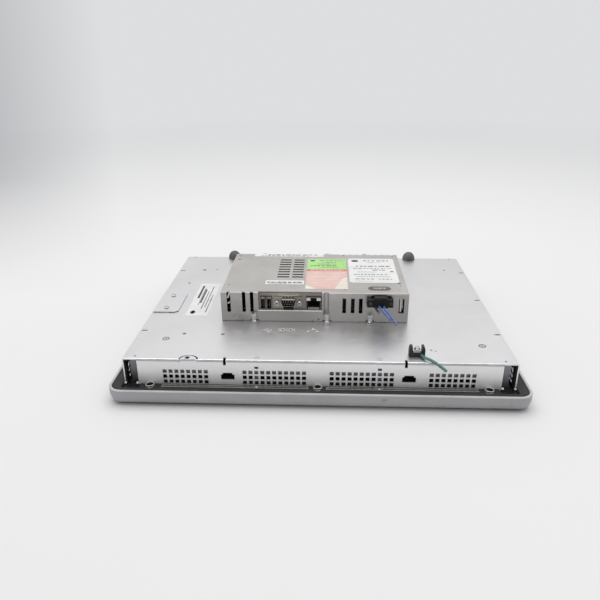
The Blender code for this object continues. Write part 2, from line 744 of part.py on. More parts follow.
def make_module_base(sheet_steel, module):
    inset = SHEET + GAP
    base = node("module_base", boxes((
        (MODULE_LEFT + inset, MODULE_FRONT + inset, MODULE_BOTTOM),
        (MODULE_RIGHT - inset, MODULE_REAR - inset, BASE_TOP),
    )), sheet_steel, module)
    ears = bmesh.new()
    holes = bmesh.new()
    middle = (MODULE_BOTTOM + BASE_TOP) / 2
    steps = 6
    rows = ((SCREW_FRONT_Y, MODULE_FRONT + 0.003, -1), (SCREW_REAR_Y, MODULE_REAR - 0.003, 1))
    for x in SCREW_X:
        for y, wall, away in rows:
            outline = [(x - EAR_RADIUS, wall), (x + EAR_RADIUS, wall)]
            for i in range(steps + 1):
                angle = math.pi * i / steps
                outline.append(
                    (x + EAR_RADIUS * math.cos(angle), y + away * EAR_RADIUS * math.sin(angle))
                )
            prism_into(ears, outline, MODULE_BOTTOM, BASE_TOP, "XYZ")
            rod_into(holes, (x, y, middle), SCREW_SHANK_RADIUS + 0.0003, 0.004, sides=16)
    low, high = MODULE_BOTTOM - 0.001, BASE_TOP + 0.001
    box_into(holes, (-0.030, DOCK_Y - 0.006, low), (0.030, DOCK_Y + 0.006, high))
    join(base, ears)
    cut(base, holes)


def module_cover_cutter():
    mesh = bmesh.new()
    outside, inside = MODULE_FRONT - 0.001, MODULE_FRONT + 0.0024
    over = MODULE_TOP + 0.001
    for x, width, bottom, wraps in FRONT_SLOTS:
        top = over if wraps else SLOT_TOP
        box_into(mesh, (x - width / 2, outside, bottom), (x + width / 2, inside, top))
    box_into(mesh, (WINDOW_LEFT, outside, WINDOW_SILL), (WINDOW_RIGHT, MODULE_FRONT + 0.0040, over))
    box_into(mesh, (0.0565, outside, 0.0620), (0.0783, inside, 0.0752))
    for i in range(REAR_SLOT_COUNT):
        x = REAR_SLOT_FIRST_X + i * REAR_SLOT_PITCH
        near, far = MODULE_REAR - 0.0026, MODULE_REAR + 0.001
        box_into(mesh, (x - 0.0020, near, 0.0560), (x + 0.0020, far, over))
    for left, right in TOP_VENT_COLUMNS:
        for row in range(TOP_VENT_ROWS):
            y = TOP_VENT_FIRST_Y + row * TOP_VENT_PITCH
            box_into(mesh, (left, y - 0.0018, MODULE_TOP - 0.003), (right, y + 0.0018, over))
    clear = 0.0009
    card_left = CARD_CENTRE_X - CARD_WIDTH / 2 - clear
    card_right = CARD_CENTRE_X + CARD_WIDTH / 2 + 0.0070
    box_into(
        mesh, (card_left, MODULE_REAR - 0.003, CARD_BOTTOM - clear),
        (card_right, MODULE_REAR + 0.001, CARD_BOTTOM + CARD_THICKNESS + clear),
    )
    half = EAR_RADIUS + 0.0004
    low, high = MODULE_BOTTOM - 0.001, BASE_TOP + 0.0006
    for x in SCREW_X:
        for wall in (MODULE_FRONT, MODULE_REAR):
            box_into(mesh, (x - half, wall - 0.003, low), (x + half, wall + 0.003, high))
    return mesh


def make_module_cover(sheet_steel, module):
    low = (MODULE_LEFT, MODULE_FRONT, MODULE_BOTTOM)
    high = (MODULE_RIGHT, MODULE_REAR, MODULE_TOP)
    cover = node("module_cover", folded_box(low, high, 0.0013), sheet_steel, module)
    cut(cover, boxes((
        (low[0] + SHEET, low[1] + SHEET, low[2] - 0.005),
        (high[0] - SHEET, high[1] - SHEET, high[2] - SHEET),
    )))
    # The driver groove: a backing strip joined inside, then a round channel down the wall
    join(cover, boxes((
        (DRIVER_GROOVE_X - 0.0037, MODULE_FRONT + 0.0006, 0.0520),
        (DRIVER_GROOVE_X + 0.0037, MODULE_FRONT + 0.0034, MODULE_TOP - 0.0006),
    )))
    cut(cover, module_cover_cutter())
    groove = rod((DRIVER_GROOVE_X, MODULE_FRONT - 0.0004, 0.066), DRIVER_GROOVE_RADIUS, 0.030, sides=16)
    cut(cover, groove)


def make_main_board(laminate, module):
    front = PORT_PLATE_FRONT + SHEET + GAP
    plate = ((-0.104, front, BOARD_BOTTOM), (0.0935, 0.066, BOARD_TOP))
    node("main_board", boxes(plate), laminate, module)


def make_docking_plug(plastic, module):
    blade = (
        (-DOCK_HALF_LENGTH, DOCK_Y - DOCK_HALF_WIDTH, 0.0365),
        (DOCK_HALF_LENGTH, DOCK_Y + DOCK_HALF_WIDTH, BOARD_BOTTOM - GAP),
    )
    node("docking_plug", boxes(blade), plastic, module)


def port_box(x, size, grow=0.0):
    """(left, right, bottom, top) of a port that stands on the main board."""
    half, bottom = size[0] / 2 + grow, PART_FOOT - grow
    return x - half, x + half, bottom, PART_FOOT + size[1] + grow


def make_port_plate(steel, module):
    front, rear = PORT_PLATE_FRONT, PORT_PLATE_FRONT + SHEET
    sheet = ((-0.0690, front, 0.0460), (0.0035, rear, 0.0766))
    plate = node("port_plate", boxes(sheet), steel, module)
    holes = bmesh.new()
    near, far = front - 0.001, rear + 0.001
    for x, size in ((USB_X[0], USB_SIZE), (USB_X[1], USB_SIZE), (ETHERNET_X, ETHERNET_SIZE)):
        left, right, bottom, top = port_box(x, size, GAP)
        box_into(holes, (left, near, bottom), (right, far, top))
    half_width, half_height = SERIAL_HOLE
    box_into(
        holes, (SERIAL_X - half_width, near, SERIAL_Z - half_height),
        (SERIAL_X + half_width, far, SERIAL_Z + half_height),
    )
    cut(plate, holes)


def make_usb_port(number, x, steel, module):
    left, right, bottom, top = port_box(x, USB_SIZE)
    shell = ((left, -0.0568, bottom), (right, -0.0420, top))
    port = node(f"usb_port_{number}", boxes(shell), steel, module)
    cut(port, boxes((
        (left + USB_WALL, -0.0590, bottom + USB_WALL), (right - USB_WALL, -0.0450, top - USB_WALL)
    )))


def serial_outline(grow=0.0):
    """The D shape of the connector's shell, wider at the top, with round corners."""
    top, bottom, height, radius = (size + grow for size in (0.0083, 0.0069, 0.0042, 0.0020))
    corners = ((top, height, 0.0), (-top, height, 0.5), (-bottom, -height, 1.0), (bottom, -height, 1.5))
    outline = []
    for x, z, turn in corners:
        middle_x = SERIAL_X + x - math.copysign(radius, x)
        middle_z = SERIAL_Z + z - math.copysign(radius, z)
        for step in range(4):
            angle = math.pi * (turn + step / 6)
            outline.append(
                (middle_x + radius * math.cos(angle), middle_z + radius * math.sin(angle))
            )
    return outline


def make_serial_port(steel, module):
    rear = PORT_PLATE_FRONT - GAP
    front = rear - 0.0008
    half_width, half_height = SERIAL_FLANGE
    flange = (
        (SERIAL_X - half_width, front, SERIAL_Z - half_height),
        (SERIAL_X + half_width, rear, SERIAL_Z + half_height),
    )
    port = node("serial_port", boxes(flange), steel, module)
    join(port, boxes((
        (SERIAL_X - 0.0090, rear - 0.0004, SERIAL_Z - 0.0046),
        (SERIAL_X + 0.0090, -0.0450, SERIAL_Z + 0.0046),
    )))
    foot_front = PORT_PLATE_FRONT + SHEET + GAP
    join(port, boxes((
        (SERIAL_X - 0.0086, foot_front, PART_FOOT), (SERIAL_X + 0.0086, -0.0454, SERIAL_Z + 0.0042),
    )))
    join(port, prism(serial_outline(), SERIAL_SHELL_FRONT, front + 0.0004, "XZY"))
    hollow = prism(serial_outline(-0.0005), SERIAL_SHELL_FRONT - 0.001, rear + 0.0002, "XZY")
    cut(port, hollow)
    middle = front - GAP - JACKSCREW_LENGTH / 2
    for number, side in enumerate((-1, 1), 1):
        x = SERIAL_X + side * JACKSCREW_SPACING / 2
        hexagon = rod((x, middle, SERIAL_Z), 0.0028, JACKSCREW_LENGTH, "Y", 6)
        screw = node(f"jackscrew_{number}", hexagon, steel, module)
        cut(screw, rod((x, middle - 0.002, SERIAL_Z), 0.0014, JACKSCREW_LENGTH, "Y", 12))


def make_ethernet_port(steel, module):
    left, right, bottom, top = port_box(ETHERNET_X, ETHERNET_SIZE)
    shell = ((left, -0.0569, bottom), (right, -0.0400, top))
    port = node("ethernet_port", boxes(shell), steel, module)
    x = ETHERNET_X
    cavity = ((x - 0.0060, -0.0580, bottom + 0.0014), (x + 0.0060, -0.0445, bottom + 0.0102))
    latch = ((x - 0.0030, -0.0581, bottom + 0.0098), (x + 0.0030, -0.0446, bottom + 0.0130))
    cut(port, boxes(cavity))
    cut(port, boxes(latch))


def make_power_header(plastic, module):
    shell = ((0.0548, -0.0560, PART_FOOT), (0.0800, -0.0430, 0.0764))
    header = node("power_header", boxes(shell), plastic, module)
    cut(header, boxes(((0.0574, -0.0580, 0.0650), (0.0774, -0.0469, 0.0745))))


def make_power_plug(plastic, blue, black, plug):
    back = MODULE_FRONT - GAP - 0.0001
    ears = ((PLUG_LEFT, PLUG_FRONT + 0.0010, PLUG_BOTTOM), (PLUG_RIGHT, back, 0.0735))
    block = ((0.0594, PLUG_FRONT, PLUG_BOTTOM - 0.0004), (0.0744, back - 0.0004, 0.0760))
    tongue = ((0.0580, back - 0.001, 0.0656), (0.0768, -0.0475, 0.0739))
    body = node("power_plug", boxes(ears), plastic, plug)
    join(body, boxes(block))
    join(body, boxes(tongue))
    routes = ((POWER_WIRE_1, blue), (POWER_WIRE_2, blue), (POWER_WIRE_3, black))
    for number, (points, finish) in enumerate(routes, 1):
        wire(f"power_wire_{number}", points, PLUG_WIRE_RADIUS, finish, plug)


def make_captive_screw(number, place, steel, module):
    x, y, top = place
    seat = BASE_TOP + GAP
    here = pivot(f"captive_screw_{number}_axis", (x, y, seat), module)
    lap = 0.001
    head_bottom = max(seat, top - SCREW_HEAD_LENGTH)
    head = rod((x, y, (head_bottom + top) / 2), SCREW_HEAD_RADIUS, top - head_bottom)
    screw = node(f"captive_screw_{number}", head, steel, here)
    if head_bottom > seat:
        neck_top = head_bottom + lap
        join(screw, rod((x, y, (seat + neck_top) / 2), SCREW_NECK_RADIUS, neck_top - seat, sides=16))
    shank_top = seat + lap
    shank_middle = (x, y, (SCREW_TIP + shank_top) / 2)
    join(screw, rod(shank_middle, SCREW_SHANK_RADIUS, shank_top - SCREW_TIP, sides=12))
    cut(screw, boxes(((x - 0.0005, y - 0.004, top - 0.0012), (x + 0.0005, y + 0.004, top + lap))))


def make_heat_sink(aluminium, module):
    left, right, front, rear = 0.030, 0.076, 0.008, 0.056
    plate = ((left, front, PART_FOOT), (right, rear, PART_FOOT + 0.003))
    sink = node("heat_sink", boxes(plate), aluminium, module)
    fins = bmesh.new()
    count, gauge = 8, 0.0012
    for i in range(count):
        x = left + 0.0012 + i * (right - left - gauge - 0.0024) / (count - 1)
        box_into(fins, (x, front + 0.0006, PART_FOOT + 0.002), (x + gauge, rear - 0.0006, 0.0735))
    join(sink, fins)


def make_clock_battery(steel, module):
    cell = rod((-0.084, 0.024, PART_FOOT + 0.0016), 0.010, 0.0032, sides=28)
    node("clock_battery", cell, steel, module)


def make_card_set(plastic, card_plastic, module):
    half = CARD_WIDTH / 2
    card_top = CARD_BOTTOM + CARD_THICKNESS
    left, right = CARD_CENTRE_X - half, CARD_CENTRE_X + half
    rear = MODULE_REAR - SHEET - GAP
    low_y = MODULE_REAR + CARD_PROUD - CARD_LENGTH
    wall = 0.0026
    block = ((left - wall, low_y - 0.003, PART_FOOT), (right + wall, rear, card_top + 0.0023))
    socket = node("card_socket", boxes(block), plastic, module)
    cut(socket, boxes((
        (left - GAP, low_y - GAP, CARD_BOTTOM - GAP), (right + GAP, rear + 0.001, card_top + GAP)
    )))
    card_slide = pivot("memory_card_axis", (CARD_CENTRE_X, MODULE_REAR, CARD_BOTTOM), module)
    middle = (CARD_CENTRE_X, low_y + CARD_LENGTH / 2)
    outline = rounded_rectangle(CARD_WIDTH, CARD_LENGTH, 0.0010, middle, steps=2)
    node("memory_card", prism(outline, CARD_BOTTOM, card_top), card_plastic, card_slide)
    x = right + 0.0046
    button_slide = pivot("card_eject_button_axis", (x, MODULE_REAR, CARD_BOTTOM), module)
    bar = (
        (x - 0.0014, 0.0520, CARD_BOTTOM + 0.0001),
        (x + 0.0014, MODULE_REAR + 0.0046, CARD_BOTTOM + 0.0032),
    )
    node("card_eject_button", boxes(bar), plastic, button_slide)


# ---- labels ----

def make_labels(paper, module):
    """Plain label plates on the housing's back and on top of the module."""
    base = HOUSING_BACK + GAP
    sticker = ((-0.1534, -0.0465, base), (-0.1278, 0.0512, base + LABEL_THICKNESS))
    node("back_label", boxes(sticker), paper["white"])
    bottom = MODULE_TOP + GAP
    top = bottom + LABEL_THICKNESS
    plates = (
        ("module_label_edge", "white", (-0.0843, 0.0602), (0.0038, 0.0696)),
        ("module_label_green", "green", (-0.0160, 0.0156), (0.0318, 0.0513)),
        ("module_label_notice", "pink", (-0.0160, -0.0462), (0.0318, 0.0153)),
        ("module_label_rating", "white", (0.0342, -0.0265), (0.0906, 0.0545)),
        ("module_label_strip", "white", (-0.0616, -0.0336), (-0.0177, -0.0214)),
    )
    for name, colour, low, high in plates:
        node(name, boxes(((*low, bottom), (*high, top))), paper[colour], module)
    oval = rounded_rectangle(0.0252, 0.0112, 0.0055, (0.0664, -0.0430), steps=5)
    node("module_label_oval", prism(oval, bottom, top), paper["grey"], module)


def main():
    for leftover in list(bpy.data.objects):
        bpy.data.objects.remove(leftover, do_unlink=True)
    bezel_paint = material("bezel paint", (0.36, 0.37, 0.39), 0.45)
    rubber = material("gasket rubber", (0.055, 0.050, 0.046), 0.85)
    foot_rubber = material("foot rubber", (0.09, 0.09, 0.095), 0.70)
    glass = material("screen glass", (0.05, 0.05, 0.06), 0.10)
    plated = material("zinc-plated sheet", (0.70, 0.71, 0.72), 0.32, 1.0)
    module_sheet = material("module sheet", (0.50, 0.49, 0.47), 0.38, 1.0)
    inner_sheet = material("inner sheet", (0.42, 0.41, 0.45), 0.45, 1.0)
    bright = material("bright steel", (0.78, 0.78, 0.78), 0.22, 1.0)
    aluminium = material("aluminium", (0.75, 0.75, 0.76), 0.35, 1.0)
    laminate = material("board laminate", (0.03, 0.18, 0.07), 0.45)
    black = material("black plastic", (0.022, 0.022, 0.024), 0.45)
    card_plastic = material("card plastic", (0.06, 0.06, 0.07), 0.50)
    blue = material("blue insulation", (0.05, 0.16, 0.50), 0.40)
    green_insulation = material("green insulation", (0.04, 0.30, 0.20), 0.45)
    lamp_green = material("green lens", (0.10, 0.45, 0.15), 0.20)
    lamp_red = material("red lens", (0.50, 0.06, 0.05), 0.20)
    paper = {
        "white": material("white label", (0.86, 0.86, 0.85), 0.50),
        "green": material("green label", (0.42, 0.80, 0.30), 0.50),
        "pink": material("pink label", (0.93, 0.58, 0.52), 0.50),
        "grey": material("grey label", (0.18, 0.17, 0.17), 0.45),
    }
    module = pivot("logic_module_axis", (0.0, 0.0, HOUSING_BACK))
    plug = pivot("power_plug_axis", (0.0669, MODULE_FRONT, 0.0697), module)

    make_bezel(bezel_paint)
    make_lamps(lamp_green, lamp_red)
    make_gasket(rubber)
    make_touch_screen(glass)
    make_lcd_panel(inner_sheet)
    make_inner_chassis(inner_sheet)
    make_display_board(laminate)
    make_docking_socket(black)
    make_inverter_board(laminate)
    make_housing(plated)
    make_flange_hardware(bright)
    make_access_cover(plated, bright)
    make_rubber_foot("rubber_foot_left", -FOOT_X, foot_rubber)
    make_rubber_foot("rubber_foot_right", FOOT_X, foot_rubber)
    make_ground_terminal(black, bright, green_insulation)
    make_module_base(module_sheet, module)
    make_module_cover(module_sheet, module)
    make_main_board(laminate, module)
    make_docking_plug(black, module)
    make_port_plate(inner_sheet, module)
    for number, x in enumerate(USB_X, 1):
        make_usb_port(number, x, bright, module)
    make_serial_port(bright, module)
    make_ethernet_port(bright, module)
    make_power_header(black, module)
    make_power_plug(black, blue, black, plug)
    for number, place in enumerate(screw_places(), 1):
        make_captive_screw(number, place, bright, module)
    make_heat_sink(aluminium, module)
    make_clock_battery(bright, module)
    make_card_set(black, card_plastic, module)
    make_labels(paper, module)


main()
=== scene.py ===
"""Looks of the operator terminal, which lies on its screen with its ports towards the camera."""

import math
import random

import bmesh
import bpy
from mathutils import Matrix, Vector


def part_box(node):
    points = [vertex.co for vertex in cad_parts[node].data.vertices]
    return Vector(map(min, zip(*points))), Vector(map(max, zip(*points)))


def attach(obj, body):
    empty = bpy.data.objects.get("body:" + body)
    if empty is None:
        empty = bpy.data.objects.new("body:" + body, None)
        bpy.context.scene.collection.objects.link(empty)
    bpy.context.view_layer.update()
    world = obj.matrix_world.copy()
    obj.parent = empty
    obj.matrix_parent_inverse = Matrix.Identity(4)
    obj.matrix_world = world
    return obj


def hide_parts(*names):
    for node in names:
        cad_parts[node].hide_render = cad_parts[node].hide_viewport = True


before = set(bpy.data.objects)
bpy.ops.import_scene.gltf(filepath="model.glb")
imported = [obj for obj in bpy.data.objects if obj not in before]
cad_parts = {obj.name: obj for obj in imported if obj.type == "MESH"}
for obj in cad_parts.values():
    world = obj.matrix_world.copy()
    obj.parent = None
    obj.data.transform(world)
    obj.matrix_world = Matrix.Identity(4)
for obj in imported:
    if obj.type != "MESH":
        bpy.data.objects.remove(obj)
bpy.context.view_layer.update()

# Camera: in front of the terminal's lower edge, looking down on its back
CAMERA_PLACE = (0.0063, -0.6408, 0.3259)
CAMERA_YAW = math.radians(-2.69)
CAMERA_PITCH = math.radians(23.74)
CAMERA_ROLL = math.radians(-0.47)
CAMERA_LENS = 34.914
CAMERA_SENSOR = 36.0
CAMERA_SHIFT = 0.0007

# Studio
FLOOR_SIZE = 80.0
WORLD_FRONT = 0.46
WORLD_BACK = 0.79
FAR_PAPER = (0.725, 0.730, 0.740)
# The paper's colour under the painted shade at its far left
SHADED_PAPER = (0.46, 0.47, 0.49)
# Painted shade on the paper's far left side fans out from here, this far in front of the room's middle
SHADE_APEX = 0.64
SOFTBOX_PLACE = (0.0, 0.3, 1.7)
SOFTBOX_SIZE = (2.2, 1.8)
SOFTBOX_POWER = 17.0

# Edges sharper than the first stay sharp in the shading, and those past the second are bevelled
SMOOTH_ANGLE = math.radians(38)
SHARP_ANGLE = math.radians(50)
WIRE_RADIUS = 0.0013
GROUND_WIRE_RADIUS = 0.0015
THREAD_PITCH = 0.0006
ORIGIN = (0.0, 0.0, 0.0)

TERMINAL = "terminal"
MODULE = "logic_module"
PLUG = "power_plug"

POWER_WIRES = (
    ("power_wire_1", (
        (0.0649, -0.0663, 0.0664), (0.0651, -0.0692, 0.0664), (0.0664, -0.0743, 0.0663),
        (0.0684, -0.0797, 0.0661), (0.0705, -0.0851, 0.0658), (0.0726, -0.0905, 0.0654),
        (0.0743, -0.0958, 0.0651),
    )),
    ("power_wire_2", (
        (0.0699, -0.0663, 0.0664), (0.0701, -0.0692, 0.0663), (0.0717, -0.0741, 0.0656),
        (0.0740, -0.0790, 0.0642), (0.0766, -0.0838, 0.0622), (0.0792, -0.0885, 0.0599),
        (0.0816, -0.0934, 0.0577),
    )),
    ("power_wire_3", (
        (0.0609, -0.0663, 0.0664), (0.0609, -0.0692, 0.0665), (0.0610, -0.0745, 0.0672),
        (0.0612, -0.0800, 0.0684), (0.0614, -0.0855, 0.0699), (0.0616, -0.0912, 0.0716),
        (0.0617, -0.0967, 0.0733),
    )),
)
GROUND_WIRE = (
    (0.1016, -0.1343, 0.0458), (0.1024, -0.1372, 0.0459), (0.1050, -0.1412, 0.0461),
    (0.1088, -0.1452, 0.0461), (0.1128, -0.1499, 0.0457), (0.1168, -0.1548, 0.0447),
    (0.1212, -0.1602, 0.0430),
)

# The housing's front wall and fold, and the flange in front of it
HOUSING_FRONT = -0.1464
WALL_MIDDLE = -0.1463
FOLD_RADIUS = 0.0016
FOLD_ENDS = (-0.1794, -0.1362, -0.1194, -0.0930, -0.0906, 0.0846, 0.0870, 0.1794)
FLANGE_TOP = 0.0158
WALL_FOOT = 0.0155
RIDGE_TOP = 0.0166
RIDGE_REAR = -0.1490
RIDGE_SPANS = ((-0.1552, -0.0090), (0.0080, 0.1565))
RIDGE_FRONTS = (-0.1537, -0.1502)
CORNER_LUGS = (0.1808, 0.1930)
FLANGE_ENDS = 0.1790

# Heights at which a shape's finish changes to painted highlight or painted shade
BEZEL_RIM = 0.0164
BEZEL_FLOOR = 0.0150
BEZEL_FACE = 0.0031
DARK_FLANGE_FLOOR = 0.0140
SHADE_STRIP = (0.0169, 0.0183)
TRAY_SHADE = 0.0215

# Marks pressed into the housing's back: (x, y), and (x, y, radius)
PLATE_RINGS = ((-0.1605, -0.1027), (0.1668, -0.1097))
PLATE_DIMPLES = (
    (-0.1438, -0.0907, 0.0021), (-0.1022, -0.0911, 0.0020), (-0.1592, 0.1011, 0.0024),
    (-0.1420, 0.1030, 0.0014), (-0.1697, 0.0528, 0.0018), (0.1675, 0.1077, 0.0016),
    (-0.1717, -0.0392, 0.0010), (0.1136, -0.1202, 0.0012), (0.1176, -0.1219, 0.0009),
)

# Signs beside the ports: (x, y), and the x of the two at the lower brackets
USB_SIGN = (-0.0574, -0.0808)
SERIAL_SIGN = (-0.0346, -0.0792)
NETWORK_SIGN = (-0.0065, -0.0793)
BRACKET_SIGNS = (-0.0605, 0.0605)
BRACKET_SIGN_Y = -0.1412

# Rivets on the module: (x, y, radius) on top, (x, z, radius) on the front wall
TOP_DIMPLES = (
    (-0.1025, 0.0621, 0.0015), (-0.1017, 0.0488, 0.0020), (-0.1025, -0.0352, 0.0011),
    (0.0284, -0.0483, 0.0009), (0.0290, 0.0654, 0.0014), (0.0912, 0.0641, 0.0012),
    (0.0897, -0.0280, 0.0021), (0.0905, -0.0354, 0.0009), (0.0881, -0.0461, 0.0009),
)
FRONT_DIMPLES = ((-0.0008, 0.0464, 0.0013), (-0.0075, 0.0446, 0.0008), (-0.0864, 0.0444, 0.0008))
SPRING_SLOT_X = -0.0999
SHINY_SLOT_X = 0.0898
WINDOW_SPAN = (-0.0669, 0.0031)
WINDOW_SILL = 0.0575
SERIAL_NOTCH = (-0.0395, -0.0285)
CREASE_MIDDLE = 0.0726
CREASE_END = 0.0741
CREASE_REACH = 0.0115
# Leaning strips in the left slot: low and high end, and how far each end leans
SPRING_STRIPS = ((0.0705, 0.0770, 0.0011), (0.0636, 0.0664, 0.0009))
INLET_SPAN = (0.0572, 0.0776)
INLET_FLOOR = 0.0648
INLET_ROOF = 0.0747
INLET_PINS = (0.0609, 0.0674, 0.0739)
PLUG_BLOCK = (0.0594, 0.0744)
PLUG_NOSE = (0.0580, 0.0768)
PLUG_STEP = 0.0699
EAR_SCREW_Z = 0.0690

# The pale wall behind the vents, between the chassis posts, on each side of the middle
BAFFLE_SPANS = ((0.0002, 0.0570), (0.0642, 0.0800), (0.0987, 0.1780))
BAFFLE_FLOOR = 0.0264
BAFFLE_TOP = 0.0400

# Columns of small marks on the back label: distance from its left edge, first and last y
BACK_COLUMNS = (
    (0.0085, 0.030, 0.082), (0.0140, 0.020, 0.070), (0.0175, 0.024, 0.086), (0.0210, 0.010, 0.060),
)

# Chips: (x, y, width, depth)
BOARD_CHIPS = (
    (-0.050, -0.015, 0.018, 0.018), (-0.020, -0.015, 0.014, 0.014), (0.008, -0.010, 0.020, 0.020),
    (-0.050, 0.012, 0.010, 0.012), (-0.025, 0.012, 0.010, 0.008), (0.050, -0.020, 0.012, 0.016),
    (-0.088, -0.020, 0.012, 0.012), (-0.088, -0.040, 0.006, 0.010), (0.010, 0.040, 0.012, 0.016),
    (0.084, 0.000, 0.008, 0.012),
)
DISPLAY_CHIPS = (
    (-0.050, -0.020, 0.016, 0.016), (-0.010, -0.025, 0.012, 0.012), (0.040, -0.020, 0.014, 0.014),
    (-0.040, 0.035, 0.012, 0.012), (0.030, 0.035, 0.018, 0.012),
)
INVERTER_CHIPS = ((-0.164, -0.045, 0.008, 0.010), (-0.164, 0.020, 0.010, 0.006))
INVERTER_TOP = 0.0256

# A sticker's thickness, how far its print stands above it, and how far the print is sunk into it
STICKER = 0.00015
INK = 0.00003
SUNK = 0.00005

# What several finishes share
BRUSHED = (0.06, 1.0, 1.0)
# Colour of painted shade in a shallow recess
RECESS_SHADE = (0.22, 0.21, 0.20)
SHEET = dict(blotch=14.0, grain=1100.0, stretch=BRUSHED, bump=0.03, speckle=0.03, scratches=0.05)
EDGE = dict(blotch=300.0, grain=1800.0)
INSULATION = dict(blotch=260.0, grain=1600.0, bump=0.25)
PAPER = dict(grain=1500.0, bump=0.1, speckle=0.03)
LENS = dict(grain=1500.0, bump=0.02, Coat_Weight=0.6)

